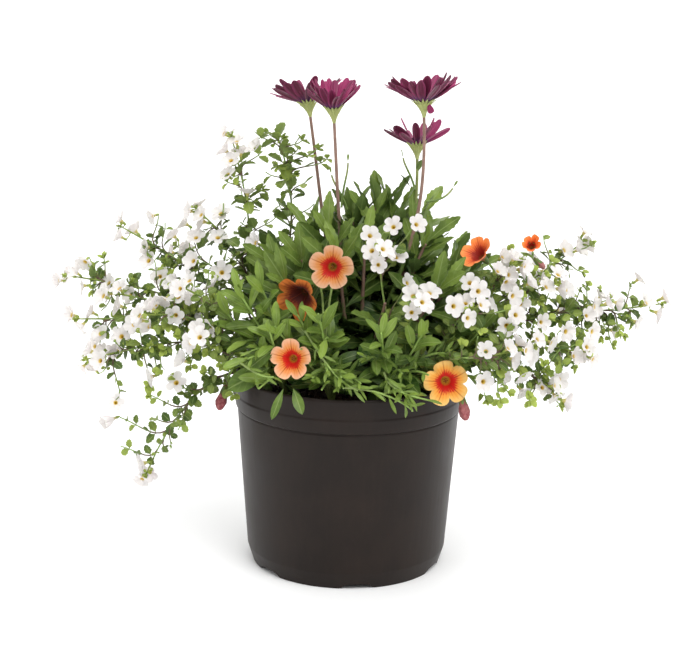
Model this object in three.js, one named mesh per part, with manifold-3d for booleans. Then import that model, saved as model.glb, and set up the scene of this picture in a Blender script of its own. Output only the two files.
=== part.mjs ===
// A planted patio pot: a round blow-moulded nursery pot, filled with potting mix, that holds an African
// daisy, calibrachoas and trailing bacopas. Millimetres, +Z up, the origin on the table under the pot's
// centre, and -Y the side that faces the viewer.
//
// Each plant's green is built from stems (tapered tubes along Bezier curves) and leaves (thin arched
// blades with their toothed outlines), fused where they grow from each other. Each coloured bloom, and
// each posy of white bacopa flowers, is a body of its own that sits 0.3 mm off the stalk that carries it.
import * as THREE from "three";
import { mergeVertices } from "three/addons/utils/BufferGeometryUtils.js";
import Module from "manifold-3d";

const wasm = await Module();
wasm.setup();

// ---------------------------------------------------------------- driving dimensions

const GAP = 0.3; // between pieces that touch
const HAIR = 0.02; // corners closer than this are drawn together
const POT_SIDES = 32; // facets round the pot
const SOIL_SIDES = 16; // and round the soil in it
const STEM_STEP = 32; // length of a stem between its rings of facets

const POT = {
  height: 173,
  topRadius: 100.3,
  lip: [101.3, 171.4],
  overRidge: [100.9, 155.8],
  ridge: [101.5, 154.4],
  bandFoot: [99.8, 142.9],
  groove: [97.7, 141.9],
  bodyTop: [98.4, 140.6],
  chamferTop: [88.8, 15],
  footOuter: 84,
  footInner: 70,
  padRadius: 20, // the flat pad in the middle of the underside
  recess: 3, // how far the rest of the underside stands clear of the table
  floor: 5,
  wall: 1.8,
};
const DRAIN = { count: 6, halfWidth: 18, height: 4.6, firstDeg: -83 };
const SOIL = { edgeZ: 152, crownZ: 160, gap: 0.9, holeDepth: 24, holeRoom: 0.7 };

const DAISY = {
  crown: [8, 14], // where the plant stands in the soil
  crownRadius: 5.6,
  crownAbove: 13, // of the soil
  heart: [[8, 164], [19, 184], [22, 214], [8, 246]], // packed inner leaves
  skirtLeaves: 18,
  stemRadius: 2.5,
  tipRadius: 1.2,
  stalkRadius: 1.6,
  leafLength: 55,
  leafHalfWidth: 9,
  leavesPerShoot: 6,
  rays: 13,
  rayLength: 33,
  rayHalfWidth: 4.6,
  cupRadius: 8,
  cupHeight: 13,
  hubRadius: 5.6,
};
const CALIBRACHOA = {
  crownRadius: 2.9,
  stemRadius: 1.7,
  tipRadius: 0.8,
  pedicelRadius: 0.8,
  leafLength: 28,
  leafHalfWidth: 5.4,
  leafSpacing: 13.5,
  faceRadius: 21,
  tubeLength: 20,
  fadedLength: 16,
};
const BACOPA = {
  crownRadius: 2.3,
  knobRadius: 6,
  stemRadius: 1.3,
  tipRadius: 0.8,
  leafLength: 15.5,
  leafHalfWidth: 7.2,
  leafSpacing: 33,
  flowerRadius: 9.4,
  pedicel: 9,
  pedicelRadius: 1.1,
  spineRadius: 0.9,
};

// ---------------------------------------------------------------- the planting plan

// African daisy shoots: where each leafy shoot ends.
const DAISY_SHOOTS = [
  [20, 8, 306], [66, -8, 292], [96, -22, 268], [-38, 12, 296], [-66, -14, 270], [-12, -36, 286],
  [48, 48, 290], [-18, 58, 284], [92, 42, 266], [-72, 48, 262], [18, 88, 262], [30, -62, 250],
];
// Its flower stalks: the point under the bloom, the way the bloom faces, and how far its rays close.
const DAISY_BLOOMS = [
  { at: [-40, 46, 405], face: [-0.15, 0.16, 0.98], closed: 34 },
  { at: [-17, -16, 408], face: [-0.06, -0.16, 0.98], closed: 50 },
  { at: [59, -20, 414], face: [-0.05, 0.06, 1], closed: 36 },
  { at: [56, 26, 372], face: [-0.04, 0.1, 1], closed: 42 },
];

// Calibrachoa plants: where each stands in the soil, the leafy stems' ends, and its blooms, with the
// size of those that are smaller or aren't fully open.
const CALIBRACHOAS = [
  {
    name: "calibrachoa_front_left",
    root: [-52, -46],
    tips: [[-93, -74, 258], [-84, -96, 206], [-74, -108, 184]],
    blooms: [
      { at: [-48, -88, 204], face: [-0.2, -0.96, 0.12], size: 0.87 },
      { at: [-110, -44, 153], face: [-0.25, -0.25, -1], faded: true },
    ],
  },
  {
    name: "calibrachoa_front",
    root: [-14, -60],
    tips: [[-26, -98, 246], [-6, -112, 196], [-62, -86, 232], [-30, -100, 192]],
    blooms: [
      { at: [-16, -76, 280], face: [-0.12, -0.98, 0.04] },
      { at: [-42, -60, 252], face: [-0.45, -0.8, -0.3] },
    ],
  },
  {
    name: "calibrachoa_front_right",
    root: [34, -58],
    tips: [[26, -104, 232], [48, -112, 180], [108, -70, 204], [14, -98, 208]],
    blooms: [
      { at: [82, -86, 186], face: [0.08, -0.98, 0.04], size: 0.94 },
      { at: [98, -86, 160], face: [0.2, -0.35, -1], faded: true },
    ],
  },
  {
    name: "calibrachoa_right",
    root: [66, 6],
    tips: [[142, 6, 272], [118, -34, 254]],
    blooms: [
      { at: [108, -38, 287], face: [-0.5, -0.62, 0.6], size: 0.78 },
      { at: [157, 0, 290], face: [0.75, -0.6, 0.3], size: 0.5 },
      { at: [170, -10, 268], face: [0.6, -0.5, -0.5], faded: true },
    ],
  },
  {
    name: "calibrachoa_back",
    root: [-10, 68],
    tips: [[-62, 104, 214], [24, 118, 204], [66, 96, 232]],
    blooms: [
      { at: [-40, 112, 246], face: [-0.3, 0.9, 0.25] },
      { at: [52, 114, 206], face: [0.25, 0.95, 0.05] },
    ],
  },
];

// Bacopa plants: where each stands, and its sprays. A spray ends in a posy of flowers: its middle,
// the way it points, how many flowers and how long the flowering end is. One with no flowers is leafy.
const BACOPAS = [
  {
    name: "bacopa_left_high",
    root: [-62, 18],
    sprays: [
      { at: [-103, 32, 360], way: [-0.25, 0, 1], flowers: 5, spine: 32 },
      { at: [-66, 42, 372], way: [-0.35, 0, 1], flowers: 0, spine: 0 },
      { at: [-128, 18, 304], way: [-0.6, -0.1, 0.6], flowers: 4, spine: 24 },
      { at: [-150, 76, 262], way: [-0.8, 0.5, 0.3], flowers: 4, spine: 26 },
      { at: [-88, 126, 232], way: [-0.5, 0.9, 0.1], flowers: 4, spine: 24 },
    ],
  },
  {
    name: "bacopa_left",
    root: [-74, -8],
    sprays: [
      { at: [-234, 0, 252], way: [-1, 0, 0.15], flowers: 4, spine: 30 },
      { at: [-192, 22, 288], way: [-0.8, 0, 0.45], flowers: 3, spine: 26 },
      { at: [-200, -18, 242], way: [-0.9, -0.25, 0.2], flowers: 3, spine: 22 },
      { at: [-137, -60, 256], way: [-0.5, -0.6, 0.4], flowers: 3, spine: 20 },
    ],
  },
  {
    name: "bacopa_left_low",
    root: [-72, -32],
    sprays: [
      { at: [-224, -20, 220], way: [-1, -0.1, 0], flowers: 3, spine: 24 },
      { at: [-214, -40, 192], way: [-0.9, -0.1, -0.2], flowers: 3, spine: 24 },
      { at: [-168, -52, 232], way: [-0.75, -0.55, 0.1], flowers: 3, spine: 24 },
      { at: [-124, -84, 222], way: [-0.4, -0.8, 0.1], flowers: 3, spine: 12 },
      { at: [-173, -34, 92], way: [-0.4, 0, -0.9], flowers: 3, spine: 16 },
    ],
  },
  {
    name: "bacopa_right_high",
    root: [56, -30],
    sprays: [
      { at: [24, -72, 284], way: [-0.1, -0.35, 0.9], flowers: 5, spine: 30 },
      { at: [54, -92, 252], way: [0.2, -0.5, 0.75], flowers: 4, spine: 22 },
      { at: [133, -46, 272], way: [0.5, -0.35, 0.6], flowers: 5, spine: 32 },
      { at: [96, -84, 246], way: [0.25, -0.7, 0.5], flowers: 3, spine: 20 },
      { at: [164, -34, 258], way: [0.75, -0.35, 0.35], flowers: 4, spine: 26 },
    ],
  },
  {
    name: "bacopa_right",
    root: [76, 20],
    sprays: [
      { at: [260, 0, 236], way: [1, 0, 0.15], flowers: 3, spine: 26 },
      { at: [198, 16, 284], way: [0.7, 0, 0.6], flowers: 3, spine: 18 },
      { at: [212, -14, 240], way: [0.85, -0.2, 0.3], flowers: 4, spine: 28 },
      { at: [160, 78, 250], way: [0.8, 0.6, 0.2], flowers: 4, spine: 26 },
      { at: [96, 122, 238], way: [0.4, 0.9, 0.2], flowers: 4, spine: 26 },
      { at: [2, 146, 238], way: [-0.2, 1, 0.2], flowers: 3, spine: 24 },
    ],
  },
  {
    name: "bacopa_right_low",
    root: [70, -24],
    sprays: [
      { at: [192, -56, 208], way: [0.85, -0.35, 0], flowers: 4, spine: 26 },
      { at: [134, -92, 215], way: [0.86, 0.3, 0.1], flowers: 6, spine: 42 },
      { at: [172, -66, 178], way: [0.85, -0.3, -0.45], flowers: 3, spine: 12 },
    ],
  },
];

// ---------------------------------------------------------------- small helpers

const UP = new THREE.Vector3(0, 0, 1);
const GOLDEN = Math.PI * (3 - Math.sqrt(5));
const vec = (p) => new THREE.Vector3(...p);
const unit = (p) => vec(p).normalize();
const lerp = THREE.MathUtils.lerp;
const rad = THREE.MathUtils.degToRad;

// A seeded stream of numbers from 0 to 1, one for each plant, so that each build is alike.
function draws(seed) {
  let state = (seed * 2654435761) >>> 0;
  return () => {
    state = (state + 0x6d2b79f5) >>> 0;
    let t = state;
    t = Math.imul(t ^ (t >>> 15), t | 1);
    t ^= t + Math.imul(t ^ (t >>> 7), t | 61);
    return ((t ^ (t >>> 14)) >>> 0) / 4294967296;
  };
}

// The solid of a closed geometry.
function solidOf(geometry) {
  const bare = geometry.clone();
  bare.deleteAttribute("normal");
  bare.deleteAttribute("uv");
  const merged = mergeVertices(bare, 1e-4);
  const vertProperties = new Float32Array(merged.attributes.position.array);
  const triVerts = new Uint32Array(merged.index.array);
  return new wasm.Manifold(new wasm.Mesh({ numProp: 3, vertProperties, triVerts }));
}

// A frame at a point: x along a direction, z as near as it can be to a given side.
function frameAt(origin, along, side) {
  const x = along.clone().normalize();
  const y = side.clone().cross(x).normalize();
  const z = x.clone().cross(y);
  return new THREE.Matrix4().makeBasis(x, y, z).setPosition(origin);
}

// Joins solids that cross, and drops the scraps that hold to nothing.
function fuse(solids) {
  const joined = solids.reduce((whole, solid) => whole.add(solid));
  return withoutHairlines(joined.decompose().reduce((a, b) => (a.volume() > b.volume() ? a : b)));
}

// Draws together the corners of a solid that lie within a hair of each other, where two cuts met.
function withoutHairlines(solid) {
  const { vertProperties: at, triVerts } = solid.getMesh();
  const apart = (a, b) => Math.hypot(...[0, 1, 2].map((k) => at[3 * a + k] - at[3 * b + k]));
  const triangles = Array.from({ length: triVerts.length / 3 }, (_, i) => [...triVerts.slice(3 * i, 3 * i + 3)]);
  const round = (corner) => new Set(triangles.filter((t) => t.includes(corner)).flat());
  for (let i = 0; i < triangles.length; i++)
    for (let k = 0; k < 3; k++) {
      const [keep, drop] = [triangles[i][k], triangles[i][(k + 1) % 3]];
      if (apart(keep, drop) > HAIR) continue;
      const shared = [...round(keep)].filter((corner) => round(drop).has(corner));
      if (shared.length !== 4) continue;
      for (const t of triangles) if (t.includes(drop)) t[t.indexOf(drop)] = keep;
      for (let j = triangles.length - 1; j >= 0; j--)
        if (new Set(triangles[j]).size < 3) triangles.splice(j, 1);
      i = -1;
      break;
    }
  const mesh = new wasm.Mesh({ numProp: 3, vertProperties: at, triVerts: new Uint32Array(triangles.flat()) });
  return new wasm.Manifold(mesh);
}

// ---------------------------------------------------------------- shapes that repeat

// A closed skin over rings of points that follow each other along a line, each ring turning the same
// way. Rings may differ in their number of points. An end is a point, or flat where none is given.
function skin(rings, first = null, last = null) {
  const points = rings.flat();
  const starts = [];
  rings.reduce((start, ring) => (starts.push(start), start + ring.length), 0);
  const triangles = [];
  for (let r = 0; r < rings.length - 1; r++) {
    const [n, m] = [rings[r].length, rings[r + 1].length];
    const a = (i) => starts[r] + (i % n);
    const b = (j) => starts[r + 1] + (j % m);
    for (let i = 0, j = 0; i < n || j < m; ) {
      if ((i + 1) / n <= (j + 1) / m) triangles.push([a(i), a(++i), b(j)]);
      else triangles.push([a(i), b(++j), b(j - 1)]);
    }
  }
  const lastStart = starts.at(-1);
  const [n, m] = [rings[0].length, rings.at(-1).length];
  if (first) {
    points.push(first);
    for (let k = 0; k < n; k++) triangles.push([(k + 1) % n, k, points.length - 1]);
  } else for (let k = 1; k < n - 1; k++) triangles.push([0, k + 1, k]);
  if (last) {
    points.push(last);
    for (let k = 0; k < m; k++) triangles.push([lastStart + k, lastStart + ((k + 1) % m), points.length - 1]);
  } else for (let k = 1; k < m - 1; k++) triangles.push([lastStart, lastStart + k, lastStart + k + 1]);
  const flat = new Float32Array(points.flatMap((p) => [p.x, p.y, p.z]));
  const geometry = new THREE.BufferGeometry();
  geometry.setAttribute("position", new THREE.BufferAttribute(flat, 3)).setIndex(triangles.flat());
  return solidOf(geometry);
}

// A ring of points about the x axis. Every second or third point of a lobed ring is drawn in.
function ring(count, radius, x, { period = 0, notch = 1, lift = 0, turn = 0 } = {}) {
  return Array.from({ length: count }, (_, k) => {
    const inNotch = period > 0 && k % period === 0;
    const reach = radius * (inNotch ? notch : 1);
    const angle = turn + (k / count) * Math.PI * 2;
    return new THREE.Vector3(x + (inNotch ? -lift : 0), Math.cos(angle) * reach, Math.sin(angle) * reach);
  });
}

// A tapered tube along a curve. It ends flat, or in a point where pointed is set.
function tube(curve, radiusAt, { sides = 3, steps = 6, pointed = false } = {}) {
  const rings = [];
  let side = new THREE.Vector3(0.31, -0.95, 0.05);
  for (let i = 0; i <= steps - (pointed ? 1 : 0); i++) {
    const t = i / steps;
    const along = curve.getTangent(t);
    side = side.clone().addScaledVector(along, -side.dot(along)).normalize();
    const over = along.clone().cross(side);
    const centre = curve.getPoint(t);
    rings.push(
      Array.from({ length: sides }, (_, k) => {
        const angle = (k / sides) * Math.PI * 2;
        const spoke = side.clone().multiplyScalar(Math.cos(angle)).addScaledVector(over, Math.sin(angle));
        return centre.clone().addScaledVector(spoke, radiusAt(t));
      }),
    );
  }
  return skin(rings, null, pointed ? curve.getPoint(1) : null);
}

// A blade: a thin solid with a ridge along its top and an outline of [share of length, share of width]
// stations. It starts in a point at the origin, runs along +x, and bends down by droop at its tip.
function blade(length, halfWidth, stations, { droop = 0, ridge = 1.1 } = {}) {
  const sag = (t) => -droop * length * t * t;
  const rings = stations.map(([t, w]) => [
    new THREE.Vector3(t * length, w * halfWidth, sag(t)),
    new THREE.Vector3(t * length, 0, sag(t) + ridge),
    new THREE.Vector3(t * length, -w * halfWidth, sag(t)),
  ]);
  return skin(rings, new THREE.Vector3(0, 0, 0), new THREE.Vector3(length, 0, sag(1)));
}

// A round toothed leaf: a lens over an outline of [share of length, share of width] points.
function roundLeaf(length, halfWidth, outline, thickness = 1.2) {
  const side = (sign) => outline.map(([t, w]) => new THREE.Vector3(t * length, sign * w * halfWidth, 0));
  const edge = [new THREE.Vector3(0, 0, 0), ...side(-1), new THREE.Vector3(length, 0, 0), ...side(1).reverse()];
  const middle = (z) => new THREE.Vector3(length * 0.46, 0, z);
  return skin([edge], middle(-thickness / 2), middle(thickness / 2));
}

// ---------------------------------------------------------------- pieces and their clearances

// Every solid put in place so far, with its node, so that later stems and leaves are bent clear of it.
const placed = [];

function remember(node, solid) {
  placed.push({ node, solid, box: solid.boundingBox() });
  return solid;
}

function boxesMeet(a, b) {
  return [0, 1, 2].every((k) => a.min[k] <= b.max[k] && b.min[k] <= a.max[k]);
}

function crosses(solid, mayCross) {
  const box = solid.boundingBox();
  return placed.some(
    (other) => !mayCross(other) && boxesMeet(box, other.box) && solid.intersect(other.solid).volume() > 0,
  );
}

// ---------------------------------------------------------------- the model

function finish(color, roughness) {
  return new THREE.MeshStandardMaterial({ color, roughness, metalness: 0 });
}

const FINISHES = {
  pot: finish(0x2f2c2a, 0.45),
  soil: finish(0x2a1c12, 0.95),
  daisyGreen: finish(0x4f7a33, 0.6),
  rays: finish(0x7a1f55, 0.55),
  disc: finish(0x2b1e3f, 0.7),
  calibrachoaGreen: finish(0x5f8f3c, 0.6),
  corolla: finish(0xf08a4b, 0.55),
  faded: finish(0xb0606a, 0.7),
  bacopaGreen: finish(0x56803a, 0.65),
  white: finish(0xf6f4f2, 0.6),
};

const root = new THREE.Group();
root.name = "planted_patio_pot";

// Adds a solid to the model as a named mesh.
function add(name, solid, material) {
  const { vertProperties, triVerts } = solid.getMesh();
  const geometry = new THREE.BufferGeometry();
  geometry.setAttribute("position", new THREE.BufferAttribute(new Float32Array(vertProperties), 3));
  geometry.setIndex(new THREE.BufferAttribute(new Uint32Array(triVerts), 1));
  geometry.computeVertexNormals();
  const mesh = new THREE.Mesh(geometry, material);
  mesh.name = name;
  root.add(mesh);
}

// ---------------------------------------------------------------- pot and soil

// A lathe about the upright axis.
function turned(profile, sides) {
  const outline = profile.map(([r, z]) => new THREE.Vector2(r, z));
  return solidOf(new THREE.LatheGeometry(outline, sides).rotateX(Math.PI / 2));
}

// A low arch that drains the pot, cut through the foot at one angle.
function drainArch(angle) {
  const arch = new THREE.Shape();
  arch.moveTo(-DRAIN.halfWidth, -2);
  arch.lineTo(DRAIN.halfWidth, -2);
  arch.lineTo(DRAIN.halfWidth * 0.55, DRAIN.height * 0.8);
  arch.lineTo(0, DRAIN.height);
  arch.lineTo(-DRAIN.halfWidth * 0.55, DRAIN.height * 0.8);
  arch.closePath();
  const cut = new THREE.ExtrudeGeometry(arch, { depth: 26, bevelEnabled: false });
  cut.rotateX(Math.PI / 2).translate(0, 92, 0).rotateZ(angle - Math.PI / 2);
  return solidOf(cut);
}

function potSolid() {
  const { wall, floor, recess } = POT;
  const profile = [
    [0, 0],
    [POT.padRadius, 0],
    [POT.padRadius + 2, recess],
    [POT.footInner - 2, recess],
    [POT.footInner, 0],
    [POT.footOuter, 0],
    POT.chamferTop,
    POT.bodyTop,
    POT.groove,
    POT.bandFoot,
    POT.ridge,
    POT.overRidge,
    POT.lip,
    [POT.topRadius, POT.height],
    [POT.topRadius - wall, POT.height],
    [POT.groove[0] - wall, POT.groove[1]],
    [POT.chamferTop[0] - wall, POT.chamferTop[1] + 1],
    [POT.footOuter - wall, floor],
    [0, floor],
  ];
  const arches = Array.from({ length: DRAIN.count }, (_, i) =>
    drainArch(rad(DRAIN.firstDeg + (360 / DRAIN.count) * i)),
  );
  return arches.reduce((pot, arch) => pot.subtract(arch), turned(profile, POT_SIDES));
}

function soilSolid(holes) {
  const low = POT.chamferTop[1] + 1.5;
  const high = POT.groove[1] - 1;
  const profile = [
    [0, POT.floor + GAP],
    [POT.footOuter - POT.wall - 1.2, POT.floor + GAP],
    [POT.chamferTop[0] - POT.wall - SOIL.gap, low],
    [POT.groove[0] - POT.wall - SOIL.gap, high],
    [POT.groove[0] - POT.wall - 2.2, SOIL.edgeZ - 1],
    [88, SOIL.edgeZ + 1.5],
    [74, SOIL.edgeZ + 2.5],
    [50, SOIL.crownZ - 2],
    [0, SOIL.crownZ],
  ];
  return holes.reduce((soil, hole) => soil.subtract(hole), turned(profile, SOIL_SIDES));
}

// The height of the soil at a distance from the pot's axis.
function soilTop(x, y) {
  const r = Math.hypot(x, y);
  if (r < 50) return lerp(SOIL.crownZ, SOIL.crownZ - 2, r / 50);
  return lerp(SOIL.crownZ - 2, SOIL.edgeZ + 2.5, (r - 50) / 24);
}

const holes = [];

// A plant's crown, standing in a plain hole in the soil. Gives its solid and the point its stems leave.
function crownAt([x, y], radius, aboveSoil, knob) {
  const top = soilTop(x, y);
  const hole = [ring(6, (radius + SOIL.holeRoom) * 1.12, top - SOIL.holeDepth), ring(6, radius + 1.2, top + 8)];
  holes.push(skin(hole).transform(uprightAt(x, y).elements));
  const post = [ring(6, radius, top - SOIL.holeDepth + 1), ring(6, radius * 0.9, top + 1.5)];
  if (knob) post.push(ring(6, knob, top + 4.5));
  post.push(ring(6, (knob || radius) * 0.8, top + aboveSoil));
  const solid = skin(post).transform(uprightAt(x, y).elements);
  return { solid, base: new THREE.Vector3(x, y, top + aboveSoil - 3) };
}

// A frame that stands the shapes that are made about the x axis upright.
function uprightAt(x, y) {
  const [ahead, across] = [new THREE.Vector3(1, 0, 0), new THREE.Vector3(0, 1, 0)];
  return new THREE.Matrix4().makeBasis(UP, ahead, across).setPosition(x, y, 0);
}

// ---------------------------------------------------------------- stems and leaves

// A stem's curve: out of the crown along rise, and into its end along way. Each step of bend moves its
// middle a little further out on a spiral.
function stemCurve(start, rise, end, way, bend = 0) {
  const reach = start.distanceTo(end);
  const shift = new THREE.Vector3(Math.cos(bend * GOLDEN), Math.sin(bend * GOLDEN), 0.5);
  shift.multiplyScalar(reach * 0.028 * Math.sqrt(bend));
  const lift = start.clone().addScaledVector(rise, reach * 0.5).add(shift);
  const back = end.clone().addScaledVector(way, -reach * 0.42).addScaledVector(shift, 1.4);
  return new THREE.CubicBezierCurve3(start, lift, back, end);
}

// Grows a stem with the least bend that keeps it clear of the other plants.
function growStem(plant, start, rise, end, way, radiusAt, shape = {}) {
  const steps = Math.max(3, Math.round(start.distanceTo(end) / STEM_STEP));
  for (let bend = 0; bend < 80; bend++) {
    const curve = stemCurve(start, rise, end, way, bend);
    const solid = tube(curve, radiusAt, { steps, ...shape });
    if (crosses(solid, (other) => other.node === plant.node)) continue;
    plant.parts.push(remember(plant.node, solid));
    plant.bends.push(bend);
    return { curve, solid };
  }
  throw new Error(plant.node + " has no way clear to " + end.toArray().join(", "));
}

const TURNS = [0, 0.35, -0.35, 0.7, -0.7, 1.05, -1.05]; // how a leaf that would cross is bent, in radians

// The way that leaves at a point turn their upper faces: up, and out of the planting.
function lightAt({ x, y }) {
  return new THREE.Vector3(x * 0.003, THREE.MathUtils.clamp((y - 20) / 50, -0.9, 0.9), 0.75);
}

// Grows a leaf out of a stem, at a spread from it and turned about it, clear of all but that stem.
function growLeaf(plant, stem, t, turn, spreadDeg, shape) {
  const foot = stem.curve.getPoint(t);
  const along = stem.curve.getTangent(t);
  const guide = Math.abs(along.z) > 0.9 ? new THREE.Vector3(1, 0, 0) : UP;
  const spread = rad(spreadDeg);
  for (const more of TURNS) {
    const side = guide.clone().cross(along).normalize().applyAxisAngle(along, turn + more);
    const out = along.clone().multiplyScalar(Math.cos(spread)).addScaledVector(side, Math.sin(spread));
    const solid = shape.transform(frameAt(foot, out, lightAt(foot)).elements);
    if (crosses(solid, (other) => other.solid === stem.solid)) continue;
    plant.parts.push(remember(plant.node, solid));
    return;
  }
}

function newPlant(node, seed) {
  return { node, parts: [], bends: [], stems: [], random: draws(seed) };
}

// Plants a crown. Gives the point at which a stem bound for an end leaves it, on the side of that end
// and each a little lower than the last.
function plantCrown(plant, at, radius, aboveSoil, stemCount, knob = 0) {
  const { solid, base } = crownAt(at, radius, aboveSoil, knob);
  plant.parts.push(remember(plant.node, solid));
  let left = 0;
  return (end) => {
    const flat = end.clone().sub(base).setZ(0).normalize().multiplyScalar(radius * 0.45);
    return base.clone().add(flat.setZ((-left++ / stemCount) * (aboveSoil - 6)));
  };
}

// ---------------------------------------------------------------- African daisy

const DAISY_LEAF = [[0.2, 0.34], [0.6, 1], [0.68, 0.76]];
const DAISY_RAY = [[0.5, 0.95], [0.85, 0.8]];

function daisyFrame(bloom) {
  return frameAt(vec(bloom.at), unit(bloom.face), new THREE.Vector3(0, -1, 0));
}

// The ring of rays on a shallow hub. Each ray is turned a little on its own line, so that its edge lies
// over its neighbour's.
function daisyRays(bloom, random) {
  const frame = daisyFrame(bloom);
  const hub = skin([ring(8, DAISY.hubRadius, GAP), ring(8, DAISY.hubRadius, 2.4)]);
  const parts = [hub.transform(frame.elements)];
  for (let i = 0; i < DAISY.rays; i++) {
    const angle = ((i + 0.3 * (random() - 0.5)) / DAISY.rays) * Math.PI * 2;
    const lift = rad(bloom.closed + 5 * (i % 2) + 8 * (random() - 0.5));
    const length = DAISY.rayLength * (0.93 + 0.12 * random());
    const ray = blade(length, DAISY.rayHalfWidth, DAISY_RAY, { droop: 0.07, ridge: 0.8 });
    const spoke = new THREE.Vector3(0, Math.cos(angle), Math.sin(angle));
    const out = spoke.clone().multiplyScalar(Math.cos(lift)).add(new THREE.Vector3(Math.sin(lift), 0, 0));
    const above = spoke.clone().multiplyScalar(-Math.sin(lift)).add(new THREE.Vector3(Math.cos(lift), 0, 0));
    above.applyAxisAngle(out, 0.3);
    const start = spoke.multiplyScalar(DAISY.hubRadius - 1.1).add(new THREE.Vector3(0.9, 0, 0));
    parts.push(ray.transform(frame.clone().multiply(frameAt(start, out, above)).elements));
  }
  return fuse(parts);
}

// The disc: a low dome with its florets standing in rings.
function daisyDisc(bloom) {
  const rings = [
    ring(8, 3.9, 2.7),
    ring(8, 3.9, 4, { period: 2, notch: 0.8 }),
    ring(8, 2.4, 5.1, { period: 2, notch: 0.7, lift: 0.6 }),
  ];
  return skin(rings, null, new THREE.Vector3(4.9, 0, 0)).transform(daisyFrame(bloom).elements);
}

// The green cup under a bloom, with its pointed bracts, from the stalk up to just under the hub.
function daisyCup(bloom) {
  const rings = [
    ring(4, DAISY.stalkRadius, -DAISY.cupHeight),
    ring(12, DAISY.cupRadius, -2.6, { period: 2, notch: 0.72, lift: 1.6 }),
    ring(6, DAISY.hubRadius - 0.8, 0),
  ];
  return skin(rings).transform(daisyFrame(bloom).elements);
}

function daisyBlooms(plant) {
  DAISY_BLOOMS.forEach((bloom, i) => {
    const rays = "daisy_rays_" + (i + 1);
    const disc = "daisy_disc_" + (i + 1);
    add(rays, remember(rays, daisyRays(bloom, plant.random)), FINISHES.rays);
    add(disc, remember(disc, daisyDisc(bloom)), FINISHES.disc);
  });
}

function daisyStems(plant) {
  const leaving = plantCrown(plant, DAISY.crown, DAISY.crownRadius, DAISY.crownAbove, 16);
  for (const bloom of DAISY_BLOOMS) {
    const face = unit(bloom.face);
    const under = vec(bloom.at).addScaledVector(face, -DAISY.cupHeight + 1);
    const base = leaving(under);
    const rise = under.clone().sub(base).setZ(150).normalize();
    const radiusAt = (t) => lerp(DAISY.stemRadius, DAISY.stalkRadius, Math.min(1, t * 1.6));
    growStem(plant, base, rise, under, face, radiusAt, { sides: 4 });
    plant.parts.push(remember(plant.node, daisyCup(bloom)));
  }
  const heart = DAISY.heart.map(([r, z], i) => ring(10, r, z, { period: 2, notch: 0.78, turn: i * 0.31 }));
  const [x, y] = DAISY.crown;
  plant.heart = skin(heart).transform(uprightAt(x, y).elements);
  plant.parts.push(remember(plant.node, plant.heart));
  for (const tip of DAISY_SHOOTS) {
    const end = vec(tip);
    const base = leaving(end);
    const rise = end.clone().sub(base).setZ(70).normalize();
    const way = end.clone().sub(base).setZ(120).normalize();
    const radiusAt = (t) => lerp(DAISY.stemRadius, DAISY.tipRadius, t);
    const shape = { pointed: true };
    plant.stems.push(growStem(plant, base, rise, end, way, radiusAt, shape));
  }
}

// Leaves low on the heart's flanks, all round, hanging out over the soil.
function daisySkirt(plant) {
  for (let i = 0; i < DAISY.skirtLeaves; i++) {
    const angle = (i / DAISY.skirtLeaves) * Math.PI * 2 - Math.PI / 2;
    const height = 180 + 44 * ((i * 0.618) % 1);
    const out = new THREE.Vector3(Math.cos(angle), Math.sin(angle), 0.55 + 0.4 * plant.random());
    const foot = new THREE.Vector3(...DAISY.crown, height).addScaledVector(out, 9);
    const curve = new THREE.LineCurve3(foot, foot.clone().add(out));
    const shape = blade(DAISY.leafLength * 1.1, DAISY.leafHalfWidth, DAISY_LEAF, { droop: 0.28, ridge: 1.5 });
    growLeaf(plant, { curve, solid: plant.heart }, 0, -Math.PI / 2, 26, shape);
  }
}

function daisyLeaves(plant) {
  daisySkirt(plant);
  const count = DAISY.leavesPerShoot;
  plant.stems.forEach((stem, shoot) => {
    for (let i = 0; i < count; i++) {
      const share = i / (count - 1);
      const length = DAISY.leafLength * lerp(1.08, 0.75, share) * (0.9 + 0.2 * plant.random());
      const width = DAISY.leafHalfWidth * lerp(1.05, 0.8, share);
      const shape = blade(length, width, DAISY_LEAF, { droop: lerp(0.22, 0.04, share), ridge: 1.5 });
      growLeaf(plant, stem, lerp(0.5, 0.95, share), i * GOLDEN + shoot, lerp(78, 30, share), shape);
    }
  });
}

// ---------------------------------------------------------------- calibrachoa

const CALIBRACHOA_LEAF = [[0.4, 0.72], [0.78, 0.92]];

function bloomFrame({ at, face, size = 1 }) {
  return frameAt(vec(at), unit(face), UP).scale(new THREE.Vector3(size, size, size));
}

// An open bloom: five broad lobes round a throat, on a tube that narrows back to its stalk.
function openBloom(bloom) {
  const r = CALIBRACHOA.faceRadius;
  const lobes = { period: 3, notch: 0.8, lift: 1.6 };
  const rings = [
    ring(5, 2.1, -CALIBRACHOA.tubeLength),
    ring(5, 5.4, -6.6),
    ring(15, r, 0.8, lobes),
    ring(15, r * 0.985, 1.9, lobes),
    ring(5, 5, -4.4),
  ];
  return skin(rings, null, new THREE.Vector3(-10, 0, 0)).transform(bloomFrame(bloom).elements);
}

// A faded bloom: its lobes rolled shut into a crumpled cone.
function fadedBloom(bloom) {
  const rings = [
    ring(4, 1.9, -CALIBRACHOA.fadedLength),
    ring(8, 4.6, -7, { period: 2, notch: 0.6 }),
    ring(8, 6.2, -1, { period: 2, notch: 0.5, turn: 0.3 }),
    ring(4, 2.6, 6, { turn: 0.5 }),
  ];
  return skin(rings).transform(bloomFrame(bloom).elements);
}

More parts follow.
